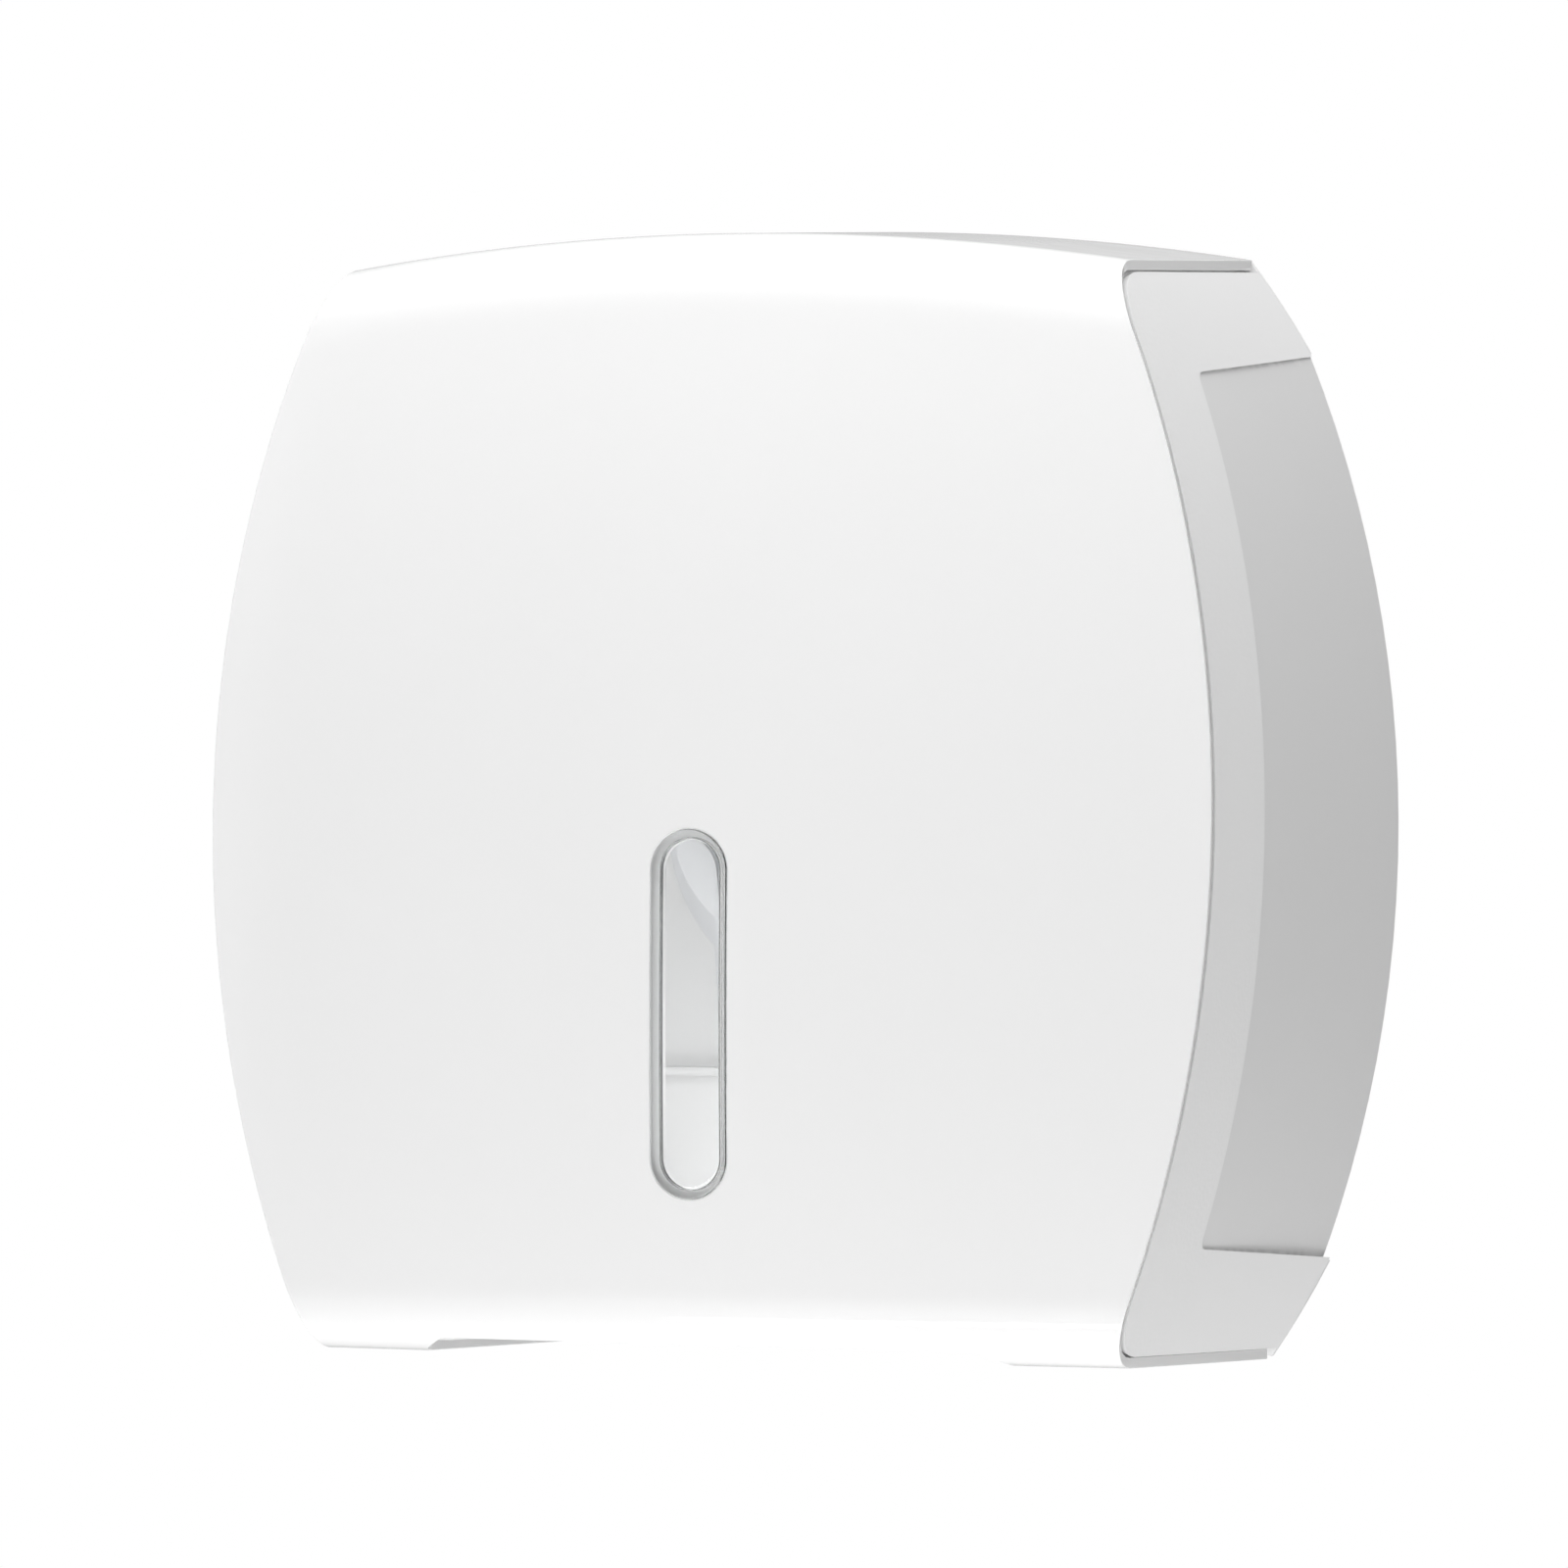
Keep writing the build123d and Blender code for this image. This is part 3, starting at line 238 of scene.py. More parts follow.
# ---- front cover: outer shell ----
# One high-gloss white ABS moulding, 2.5 mm thick: an arched top, a bulged front and a sloping underside
# with rolled corners between them, open at both sides, with holes for the window, lock and paper.

DEPTH = 118.0
TOP_REAR_Z = 143.3
UNDERSIDE_REAR_Z = -128.0
FACE_CLIMB = 5.0
TOP_ARCH_R = 629.0
FRONT_LOW_Z = -46.0
FRONT_RISE_R = 1310.0
FRONT_CROSS_R = 860.0
SIDE_HALF_BACK = 146.3
SIDE_HALF_FRONT = 122.0
SIDE_R_BACK = 224.0
SIDE_R_FRONT = 328.0
TOP_ROLL = 20.0
BOTTOM_ROLL = 18.0
WALL = 2.5
OUTLET_HALF = 66.0
OUTLET_SLOPE = 7.0
OUTLET_RISE = 3.7
HINGE_NOTCH = (79.0, 92.0)
HINGE_NOTCH_Y = -14.0
COVER_REAR_Y = -2.0
UNDERSIDE_REAR_Y = -5.5
LOCK_Y = -30.0
LOCK_HOLE_R = 11.35
WINDOW_Z = -42.7
WINDOW_WIDTH = 19.0
WINDOW_HEIGHT = 86.0
WINDOW_GAP = 0.15


def lerp(back, front, share):
    """Value a share of the way from one end to the other."""
    return back + (front - back) * share


def seat_z(y):
    """Underside: a plane that climbs 5 mm from the wall to full depth."""
    return UNDERSIDE_REAR_Z - y / DEPTH * FACE_CLIMB


def top_z(x, y, inset):
    """Top: an arch of one radius whose crown falls 5 mm from the wall to full depth."""
    crown = TOP_REAR_Z + y / DEPTH * FACE_CLIMB
    return crown - TOP_ARCH_R + np.sqrt((TOP_ARCH_R - inset) ** 2 - x ** 2)


def front_y(x, z, inset):
    """Front: an upright arc of 1310 mm radius turned about a far upright axis, 860 mm behind its nose."""
    rise_r = FRONT_RISE_R - inset
    reach = FRONT_CROSS_R - inset - rise_r + np.sqrt(rise_r ** 2 - (z - FRONT_LOW_Z) ** 2)
    return FRONT_CROSS_R - DEPTH - np.sqrt(reach ** 2 - x ** 2)


def side_x(y, z):
    """Half width at the sides: an upright arc whose middle and curvature change evenly with depth."""
    share = -y / DEPTH
    radius = 1 / lerp(1 / SIDE_R_BACK, 1 / SIDE_R_FRONT, share)
    return lerp(SIDE_HALF_BACK, SIDE_HALF_FRONT, share) - radius + np.sqrt(radius ** 2 - z ** 2)


def roll_centre(x, inset, end):
    """Centre of the corner roll at a width, at the top (end 1) or foot (end -1), the angle of the front's
    normal there and the height where they touch: the ball that touches the front is moved up or down, by
    halving, until it meets the other face."""
    radius = (TOP_ROLL if end > 0 else BOTTOM_ROLL) - inset
    stretch = radius * math.hypot(1, FACE_CLIMB / DEPTH)
    near, far, halvings, step = 60.0, 150.0, 30, 0.01
    low = np.full(np.shape(x), near if end > 0 else -far)
    high = np.full(np.shape(x), far if end > 0 else -near)
    for _ in range(halvings):
        z = (low + high) / 2
        lean = (front_y(x, z + step, inset) - front_y(x, z - step, inset)) / (2 * step)
        size = np.sqrt(1 + lean ** 2)
        centre_y = front_y(x, z, inset) + radius / size
        centre_z = z - radius * lean / size
        face = top_z(x, centre_y, inset) - stretch if end > 0 else seat_z(centre_y) + inset + stretch
        short = centre_z < face
        low = np.where(short, z, low)
        high = np.where(short, high, z)
    return centre_y, centre_z, np.arctan2(lean, -1.0) % (2 * math.pi), z


def outline_point(zone, share, x, inset, rear):
    """Place on the housing's outline at a width: zone 0 underside, 1 foot roll, 2 front, 3 top roll, 4 top,
    each run through by a share from 0 to 1, starting and ending at the rear depths."""
    foot_roll, top_roll = BOTTOM_ROLL - inset, TOP_ROLL - inset
    slope = math.atan2(FACE_CLIMB, DEPTH)
    down, up = 1.5 * math.pi - slope, math.pi / 2 + slope
    foot_y, foot_z, low_angle, z_low = roll_centre(x, inset, -1)
    head_y, head_z, high_angle, z_high = roll_centre(x, inset, 1)
    under_y = lerp(rear[0], foot_y + foot_roll * math.cos(down), share)
    foot_turn = lerp(down, low_angle, share)
    front_z = lerp(z_low, z_high, share)
    head_turn = lerp(high_angle, up, share)
    over_y = lerp(head_y + top_roll * math.cos(up), rear[1], share)
    choices_y = [
        under_y, foot_y + foot_roll * np.cos(foot_turn), front_y(x, front_z, inset),
        head_y + top_roll * np.cos(head_turn), over_y,
    ]
    choices_z = [
        seat_z(under_y) + inset, foot_z + foot_roll * np.sin(foot_turn), front_z,
        head_z + top_roll * np.sin(head_turn), top_z(x, over_y, inset),
    ]
    picks = [zone == k for k in range(5)]
    return np.select(picks, choices_y), np.select(picks, choices_z)


def run_rows(counts):
    """Zone numbers and shares of an outline's rows, as columns: even steps, each zone's start included."""
    zone = np.repeat(np.arange(5), counts)
    share = np.concatenate([np.arange(n) / n for n in counts])
    return np.append(zone, 4)[:, None], np.append(share, 1.0)[:, None]


def edge_width(zone, share, inset, sink, rear):
    """Half width of the outline's edge, where the outline runs out at the side less a sink: each round
    takes the side's width at the place that the last width gave, and twelve rounds settle it."""
    x = np.full(np.shape(zone), 110.0)
    for _ in range(12):
        y, z = outline_point(zone, share, x, inset, rear)
        x = side_x(y, z) - sink
    return x


def mesh_piece(name, points, faces):
    """Object from an array of points in mm and a list of faces, with doubled points merged."""
    mesh = bpy.data.meshes.new(name)
    mesh.from_pydata((np.asarray(points).reshape(-1, 3) / 1000).tolist(), [], faces)
    shape = bmesh.new()
    shape.from_mesh(mesh)
    bmesh.ops.remove_doubles(shape, verts=shape.verts, dist=0.000005)
    shape.to_mesh(mesh)
    shape.free()
    piece = bpy.data.objects.new(name, mesh)
    bpy.context.scene.collection.objects.link(piece)
    return piece


def grid_faces(rows, columns, start=0, flip=False, keep=None):
    """Four-sided faces of a grid stored row by row, those where keep is false left out."""
    index = start + np.arange(rows * columns).reshape(rows, columns)
    corners = [index[:-1, :-1], index[:-1, 1:], index[1:, 1:], index[1:, :-1]]
    if flip:
        corners.reverse()
    faces = np.stack(corners, -1)
    keep = np.ones(faces.shape[:2], bool) if keep is None else keep
    return faces[keep].tolist()


def hole_patch(points, block, onto, rings):
    """New points and faces between a block's rim in the grid and a hole: each rim point moves towards the
    hole's nearest point, in rings whose share of the way grows as a power 0.8. onto gives one ring."""
    r0, r1, c0, c1 = block
    columns = points.shape[1]
    rim = [(r0, c) for c in range(c0, c1)] + [(r, c1) for r in range(r0, r1)]
    rim += [(r1, c) for c in range(c1, c0, -1)] + [(r, c0) for r in range(r1, r0, -1)]
    rim = np.array(rim)
    outer = points[rim[:, 0], rim[:, 1]]
    shares = np.linspace(0, 1, rings + 1)[1:] ** 0.8
    grid = np.stack([onto(outer, s) for s in shares])
    first = rim[:, 0] * columns + rim[:, 1]
    start = points.shape[0] * columns
    count = len(rim)
    loops = np.vstack([first, start + np.arange(rings * count).reshape(rings, count)])
    after = np.roll(loops, -1, axis=1)
    faces = np.stack([loops[:-1], after[:-1], after[1:], loops[1:]], -1).reshape(-1, 4)
    return grid.reshape(-1, 3), faces


def two_paces(count, first_rows, first_share):
    """Shares of a zone's rows: the first few rows reach a given share, and the rest run on evenly."""
    steps = np.arange(count)
    rest = first_share + (steps - first_rows) / (count - first_rows) * (1 - first_share)
    return np.where(steps <= first_rows, steps / first_rows * first_share, rest)


def shell_grid():
    """Points of the cover's outer skin, row by row round the outline and from left to right, and the mask
    of its faces, which leaves out the paper outlet and the two notches for the hinge ears."""
    rear = (UNDERSIDE_REAR_Y, COVER_REAR_Y)
    counts = (30, 18, 112, 18, 44)
    notch_rows, lip_rows = 4, 8
    zone, share = run_rows(counts)
    foot_y, _, low_angle, _ = roll_centre(np.zeros(1), 0, -1)
    notch_share = (UNDERSIDE_REAR_Y - HINGE_NOTCH_Y) / (UNDERSIDE_REAR_Y - foot_y[0])
    share[zone == 0] = two_paces(counts[0], notch_rows, notch_share)

    # The foot roll's turn, reckoned wide by twice the underside's slope: the lip ends a little low.
    sweep = 1.5 * math.pi + math.atan2(FACE_CLIMB, DEPTH) - low_angle[0]
    lip = math.acos(1 - OUTLET_RISE / BOTTOM_ROLL)
    share[zone == 1] = two_paces(counts[1], lip_rows, lip / sweep)
    rise = np.minimum(BOTTOM_ROLL * (1 - np.cos(share * sweep)), OUTLET_RISE)
    rise = np.select([zone == 0, zone == 1], [0.0, rise], OUTLET_RISE)

    inner = OUTLET_HALF + OUTLET_SLOPE * (1 - rise / OUTLET_RISE)
    edge = edge_width(zone, share, 0, 0, rear)
    stops = [inner, np.full_like(edge, HINGE_NOTCH[0]), np.full_like(edge, HINGE_NOTCH[1]), edge]
    inside_columns, notch_columns, outside_columns, centre_columns = 5, 6, 8, 56
    side = [
        lerp(stops[k], stops[k + 1], np.arange(n) / n)
        for k, n in enumerate((inside_columns, notch_columns, outside_columns))
    ]
    side = np.hstack(side + [edge])
    middle = inner * np.linspace(-1, 1, centre_columns + 1)[None, 1:-1]
    x = np.hstack([-side[:, ::-1], middle, side])
    y, z = outline_point(zone, share, x, 0, rear)

    keep = np.ones((x.shape[0] - 1, x.shape[1] - 1), bool)
    outlet = side.shape[1] - 1
    keep[:counts[0] + lip_rows, outlet:outlet + centre_columns] = False
    notches = np.zeros(x.shape[1] - 1, bool)
    first = outlet + centre_columns + inside_columns
    notches[first:first + notch_columns] = True
    keep[:notch_rows, notches | notches[::-1]] = False
    return np.stack([x, y, z], -1), keep


def window_ring(outer, share):
    """Points a share of the way from the rim to the round-ended window, on the front surface."""
    straight = (WINDOW_HEIGHT - WINDOW_WIDTH) / 2
    x, z = outer[:, 0], outer[:, 2] - WINDOW_Z
    level = np.clip(z, -straight, straight)
    away = np.hypot(x, z - level)
    radius = WINDOW_WIDTH / 2 + WINDOW_GAP
    x = lerp(x, x / away * radius, share)
    z = lerp(z, level + (z - level) / away * radius, share) + WINDOW_Z
    return np.stack([x, front_y(x, z, 0), z], -1)


def lock_ring(outer, share):
    """Points a share of the way from the rim to the round lock hole, on the top."""
    x, y = outer[:, 0], outer[:, 1] - LOCK_Y
    away = np.hypot(x, y)
    x = lerp(x, x / away * LOCK_HOLE_R, share)
    y = lerp(y, y / away * LOCK_HOLE_R, share) + LOCK_Y
    return np.stack([x, y, top_z(x, y, 0)], -1)


def block_about(points, on_face, x_half, axis, middle, reach):
    """Grid block about a hole, as first and last row and column: inside a width, on one face, and within a
    reach of the hole's middle along Y (axis 1) or Z (axis 2)."""
    column = points[:, points.shape[1] // 2]
    rows = np.where(on_face(column) & (np.abs(column[:, axis] - middle) < reach))[0]
    columns = np.where(np.abs(points[rows[0], :, 0]) < x_half)[0]
    return rows[0], rows[-1], columns[0], columns[-1]


def on_front(column):
    """True for the points of the middle column that lie on the front, away from its rolled corners."""
    return (column[:, 1] < -90) & (np.abs(column[:, 2]) < 115)


def on_top(column):
    """True for the points of the middle column that lie on the top."""
    return column[:, 2] > 130


def cover_shell():
    """The outer skin with its two holes cut, given the moulding's wall inwards and soft edges."""
    points, keep = shell_grid()
    window_margin, window_half = 9.0, 17.5
    lock_reach, lock_half = 19.5, 19.0
    window = block_about(points, on_front, window_half, 2, WINDOW_Z, WINDOW_HEIGHT / 2 + window_margin)
    lock = block_about(points, on_top, lock_half, 1, LOCK_Y, lock_reach)
    flat = points.reshape(-1, 3)
    extra, faces = [], []
    for block, onto in ((window, window_ring), (lock, lock_ring)):
        r0, r1, c0, c1 = block
        keep[r0:r1, c0:c1] = False
        new_points, new_faces = hole_patch(points, block, onto, 6)
        shift = sum(len(e) for e in extra)
        new_faces = np.where(new_faces >= len(flat), new_faces + shift, new_faces)
        extra.append(new_points)
        faces += new_faces.tolist()
    faces += grid_faces(*points.shape[:2], keep=keep)
    piece = mesh_piece("front_cover_shell", np.vstack([flat] + extra), faces)
    wall = piece.modifiers.new("moulded_wall", "SOLIDIFY")
    wall.thickness = WALL / 1000
    wall.offset = -1.0
    wall.use_even_offset = True
    round_edges(piece, 0.22, segments=3, angle=40)
    return piece


def gloss_abs(name):
    """High-gloss ABS from a polished tool: a hard, slightly uneven mirror. The faint orange peel has a
    wave of about 6 mm, and the gloss wanders a little where hands have wiped it."""
    material, tree, shader, place = start_material(name, IOR=1.54, Coat_Weight=0.25, Coat_Roughness=0.06)
    tone = add(tree, "ShaderNodeTexNoise", [(place, "Vector")], Scale=9.0, Detail=2.0)
    tree.links.new(ramp(tree, tone.outputs["Fac"], "F0F0F0", "F3F3F3"), shader.inputs["Base Color"])
    wipe = add(tree, "ShaderNodeTexNoise", [(place, "Vector")], Scale=40.0, Detail=4.0, Roughness=0.55)
    gloss_between(tree, shader, wipe.outputs["Fac"], 0.1, 0.17)
    peel = add(tree, "ShaderNodeTexNoise", [(place, "Vector")], Scale=1 / 0.006, Detail=1.0)
    relief(tree, shader, peel.outputs["Fac"], 0.12, 0.00005)
    return material


abs_high_gloss_white = gloss_abs("abs_high_gloss_white")
place_piece(cover_shell(), abs_high_gloss_white, "cover", "cover_gloss", "front_cover")

# ---- front cover: what is moulded inside it ----
# The same ABS: the flanges that carry the side panels, screw pads, rails beside the outlet, the lock's
# boss, the window's bosses and the two hinge ears. They stand on the shell's inner skin.


def shell_depth(points):
    """Depth of points below the outer skin: the least of the depths under top, front and underside, or
    inside a corner the roll's radius less the distance from its centre."""
    x, y, z = points.T
    depth = np.minimum(np.minimum(y - front_y(x, z, 0), top_z(x, y, 0) - z), z - seat_z(y))
    for end, radius in ((-1, BOTTOM_ROLL), (1, TOP_ROLL)):
        centre_y, centre_z, _, _ = roll_centre(x, 0, end)
        corner = (y < centre_y) & ((z - centre_z) * end > 0)
        depth = np.where(corner, radius - np.hypot(y - centre_y, z - centre_z), depth)
    return depth


def cover_inside():
    """The part of the cover that stands deeper than its wall, and the ears whole: every face of the CAD
    cover that belongs to its outer wall alone is taken away."""
    shape = bmesh.new()
    shape.from_mesh(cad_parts["front_cover"].data)
    bmesh.ops.remove_doubles(shape, verts=shape.verts, dist=0.000004)
    shape.verts.ensure_lookup_table()
    points = np.array([v.co[:] for v in shape.verts]) * 1000
    ear_middle, ear_half, ear_front, ear_top = 90.0, 2.1, -33.0, -115.0
    ears = np.abs(np.abs(points[:, 0]) - ear_middle) < ear_half
    ears &= (points[:, 1] > ear_front) & (points[:, 2] < ear_top)
    wall_only = (shell_depth(points) < WALL + 0.08)
    unwanted = [
        face for face in shape.faces
        if all(wall_only[v.index] for v in face.verts) and not all(ears[v.index] for v in face.verts)
    ]
    bmesh.ops.delete(shape, geom=unwanted, context="FACES")
    bmesh.ops.dissolve_limit(shape, angle_limit=math.radians(0.6), verts=shape.verts, edges=shape.edges)
    mesh = bpy.data.meshes.new("front_cover_inside")
    shape.to_mesh(mesh)
    shape.free()
    piece = bpy.data.objects.new("front_cover_inside", mesh)
    bpy.context.scene.collection.objects.link(piece)
    round_edges(piece, 0.2, segments=2, angle=40)
    return piece


place_piece(cover_inside(), abs_high_gloss_white, "cover", "cover_gloss")

# ---- side panels ----
# Two satin white ABS mouldings that close the cover's sides, set 0.4 mm below its rim. Each is a band
# with a fine leather grain that fades to the rear, stepped in to a smooth sunken floor to grip it by.

PANEL_SINK = 0.4
PANEL_WALL = 2.4
PANEL_INSET = 2.65
PANEL_FOOT_REAR_Y = -3.0
RECESS_DEPTH = 76.75
RECESS_HALF_BACK = 137.4
RECESS_HALF_FRONT = 128.99
RECESS_R_BACK = 296.0
RECESS_R_FRONT = 287.5
RECESS_CORNER = 3.5
FLOOR_SINK = 0.1
GRAIN_REAR_Y = -52.0
GRAIN_FADE = 34.0


def recess_floor_x(y, z):
    """Half width over the sunken floors: an upright arc, flatter than the side's, changing with depth."""
    share = -y / RECESS_DEPTH
    radius = 1 / lerp(1 / RECESS_R_BACK, 1 / RECESS_R_FRONT, share)
    return lerp(RECESS_HALF_BACK, RECESS_HALF_FRONT, share) - radius + np.sqrt(radius ** 2 - z ** 2)


def arc_points(middle, first, last, radius, shares):
    """Points on an arc about a middle, turning the short way from one direction to another."""
    start, end = math.atan2(first[1], first[0]), math.atan2(last[1], last[0])
    end += 2 * math.pi * round((start - end) / (2 * math.pi))
    angle = lerp(start, end, shares)[:, None]
    return middle + radius * np.hstack([np.cos(angle), np.sin(angle)])


def recess_outline(counts):
    """The sunken floor's outline in Y and Z: forward along its foot, round a 3.5 mm corner, up its front on
    an arc that bulges forward, round the upper corner and back. Each corner's centre lies one radius in
    from both lines, found by stepping along the arc's own circle."""
    line, turn, front = counts
    low_rear, low_front = np.array([0.0, -103.5]), np.array([-80.0, -97.0])
    top_front, top_rear = np.array([-73.5, 106.3]), np.array([0.0, 112.0])
    chord_middle, half = (low_front + top_front) / 2, (top_front - low_front) / 2
    bulge = np.array([-82.5, chord_middle[1]])
    out = np.array([-half[1], half[0]]) / np.hypot(*half)
    rise = float((bulge - chord_middle) @ out)
    radius = (half @ half + rise ** 2) / (2 * rise)
    centre = chord_middle + out * (rise - radius)
    corners = []
    for rear, tip, end in ((low_rear, low_front, 1), (top_rear, top_front, -1)):
        along = (tip - rear) / np.hypot(*(tip - rear))
        inward = np.array([-along[1], along[0]]) * -end
        start = rear + inward * RECESS_CORNER - centre
        inner = radius - RECESS_CORNER
        reach = -start @ along + math.sqrt((start @ along) ** 2 - start @ start + inner ** 2)
        middle = centre + start + along * reach
        spoke = (middle - centre) / np.hypot(*(middle - centre))
        corners.append((middle, -inward, spoke))
    (low_middle, low_from, low_to), (top_middle, top_to, top_from) = corners
    turns = np.linspace(0, 1, turn + 1)[:-1]
    rises = np.linspace(0, 1, front + 1)[:-1]
    steps = np.linspace(0, 1, line + 1)[:, None]
    foot = low_middle + low_from * RECESS_CORNER
    head = top_middle + top_to * RECESS_CORNER
    rear_foot = lerp(low_rear, low_front, COVER_REAR_Y / low_front[0])
    rear_head = lerp(top_rear, top_front, COVER_REAR_Y / top_front[0])
    return np.vstack([
        lerp(rear_foot, foot, steps[:-1]),
        arc_points(low_middle, low_from, low_to, RECESS_CORNER, turns),
        arc_points(centre, low_to, top_from, radius, rises),
        arc_points(top_middle, top_from, top_to, RECESS_CORNER, turns),
        lerp(head, rear_head, steps),
    ])


def coons(bottom, right, top, left):
    """Patch between four edges: the two ruled patches added, less the bilinear patch of the corners."""
    u = np.linspace(0, 1, len(bottom))[:, None, None]
    v = np.linspace(0, 1, len(left))[None, :, None]
    ruled_v = bottom[:, None] * (1 - v) + top[:, None] * v
    ruled_u = left[None] * (1 - u) + right[None] * u
    corners = (
        bottom[0] * (1 - u) * (1 - v) + bottom[-1] * u * (1 - v) + top[0] * (1 - u) * v + top[-1] * u * v
    )
    return ruled_v + ruled_u - corners


def side_panel(side, name):
    """Band, step and floor as three joined grids: the band runs from the cover's rim to the recess, the
    step goes straight in along X, and the floor fills the recess's outline. The grain attribute fades
    smoothly towards the rear (three times the square less twice the cube of the share)."""
    line, arc, front, band_columns = 34, 10, 96, 15
    rear = (PANEL_FOOT_REAR_Y, COVER_REAR_Y)
    zone, share = run_rows((line, arc, front, arc, line))
    edge = edge_width(zone, share, PANEL_INSET, PANEL_SINK, rear)
    rim_y, rim_z = outline_point(zone, share, edge, PANEL_INSET, rear)
    rim = np.hstack([rim_y, rim_z])
    inner = recess_outline((line, arc, front))
    across = np.linspace(0, 1, band_columns)[None, :, None]
    band = rim[:, None] * (1 - across) + inner[:, None] * across
    band_x = side_x(band[..., 0], band[..., 1]) - PANEL_SINK
    foot_x = np.minimum(recess_floor_x(inner[:, 0], inner[:, 1]), band_x[:, -1] - FLOOR_SINK)
    step_x = np.stack([band_x[:, -1], foot_x], axis=1)
    step = np.repeat(inner[:, None], 2, axis=1)
    corner = line + arc // 2
    last = len(inner) - 1
    low_edge = inner[:corner + 1]
    front_edge = inner[corner:last - corner + 1]
    top_edge = inner[last - corner:][::-1]
    rear_edge = lerp(inner[0], inner[-1], np.linspace(0, 1, len(front_edge))[:, None])
    floor = coons(low_edge, front_edge, top_edge, rear_edge)
    sunk_side_x = side_x(floor[..., 0], floor[..., 1]) - PANEL_SINK - FLOOR_SINK
    floor_x = np.minimum(recess_floor_x(floor[..., 0], floor[..., 1]), sunk_side_x)
    grids = [(band, band_x), (step, step_x), (floor, floor_x)]
    points, faces, grain, painted_shade_mask = [], [], [], []
    for number, (plan, x) in enumerate(grids):
        start = sum(len(p) for p in points)
        points.append(np.dstack([side * x, plan]).reshape(-1, 3))
        faces += grid_faces(*x.shape, start=start, flip=(side < 0))
        fade = np.clip((GRAIN_REAR_Y - plan[..., 0]) / GRAIN_FADE, 0, 1)
        grain.append((fade * fade * (3 - 2 * fade) * (number == 0)).ravel())
        # 1 on the sunken floor: where the material paints a darker tone as shade for the recess
        painted_shade_mask.append(np.full(x.size, float(number == 2)))
    mesh = bpy.data.meshes.new(name)
    mesh.from_pydata((np.vstack(points) / 1000).tolist(), [], faces)
    mesh.attributes.new("grain", "FLOAT", "POINT").data.foreach_set("value", np.concatenate(grain))
    mesh.attributes.new("painted_shade_mask", "FLOAT", "POINT").data.foreach_set("value", np.concatenate(painted_shade_mask))
    shape = bmesh.new()
    shape.from_mesh(mesh)
    bmesh.ops.remove_doubles(shape, verts=shape.verts, dist=0.00001)
    shape.to_mesh(mesh)
    shape.free()
    piece = bpy.data.objects.new(name, mesh)
    bpy.context.scene.collection.objects.link(piece)
    wall = piece.modifiers.new("moulded_wall", "SOLIDIFY")
    wall.thickness = PANEL_WALL / 1000
    wall.offset = -1.0
    wall.use_even_offset = True
    round_edges(piece, 0.25, segments=3, angle=28)
    return piece


def leather_grain_abs(name):
    """Satin ABS from an etched tool: shallow rounded leather cells of about 1.1 mm with finer pores, at the
    strength of the piece's grain attribute. Where that is nought the surface is plain satin. The sunken
    floors get a darker base tone: painted shade that stands for the shade in the recess."""
    material, tree, shader, place = start_material(name, IOR=1.54)
    tone = add(tree, "ShaderNodeTexNoise", [(place, "Vector")], Scale=12.0, Detail=2.0)
    painted_shade_mask = add(tree, "ShaderNodeAttribute", attribute_name="painted_shade_mask")
    shade = add(tree, "ShaderNodeMix", [(painted_shade_mask.outputs["Fac"], 0)], data_type="RGBA")
    tree.links.new(ramp(tree, tone.outputs["Fac"], "EDEDED", "F0F0F0"), shade.inputs[6])
    # painted shade: the sunken floor's darker base tone stands for the shade in the recess
    tree.links.new(ramp(tree, tone.outputs["Fac"], "E0E0E0", "E3E3E3"), shade.inputs[7])
    tree.links.new(shade.outputs[2], shader.inputs["Base Color"])
    amount = add(tree, "ShaderNodeAttribute", attribute_name="grain")
    wander = add(tree, "ShaderNodeTexNoise", [(place, "Vector")], Scale=1 / 0.0016, Detail=2.0)
    offset = add(
        tree, "ShaderNodeVectorMath", [(wander.outputs["Color"], 0)], operation="SCALE", Scale=0.0006,
    )
    shifted = add(
        tree, "ShaderNodeVectorMath", [(place, 0), (offset.outputs["Vector"], 1)], operation="ADD",
    )
    cells = add(
        tree, "ShaderNodeTexVoronoi", [(shifted.outputs["Vector"], "Vector")],
        feature="SMOOTH_F1", Scale=1 / 0.0011, Smoothness=0.4,
    )
    pores = add(tree, "ShaderNodeTexNoise", [(place, "Vector")], Scale=1 / 0.0003, Detail=3.0)
    fine = add(tree, "ShaderNodeMath", [(pores.outputs["Fac"], 0)], operation="MULTIPLY")
    fine.inputs[1].default_value = 0.35
    height = add(
        tree, "ShaderNodeMath", [(cells.outputs["Distance"], 0), (fine.outputs[0], 1)], operation="ADD",
    )
    scaled = add(
        tree, "ShaderNodeMath", [(height.outputs[0], 0), (amount.outputs["Fac"], 1)], operation="MULTIPLY",
    )
    relief(tree, shader, scaled.outputs[0], 0.5, 0.00012)
    gloss_between(tree, shader, pores.outputs["Fac"], 0.4, 0.52)
    return material


abs_leather_grain_white = leather_grain_abs("abs_leather_grain_white")
for side, word in ((-1, "left"), (1, "right")):
    panel = side_panel(side, f"{word}_side_panel_moulding")
    place_piece(panel, abs_leather_grain_white, "cover", "panel_grain", f"{word}_side_panel")
refine("panel_screws", "panel_screw_set", steel_zinc_plated, "cover", "zinc_steel", edge=0.25)

# ---- window ----
# A clear polycarbonate cup pushed through the cover from inside, its face 0.5 mm proud with a rounded
# rim. A white ABS ring holds it by its flange with four small screws.

LENS_PROUD = 0.5
LENS_RIM = 0.7


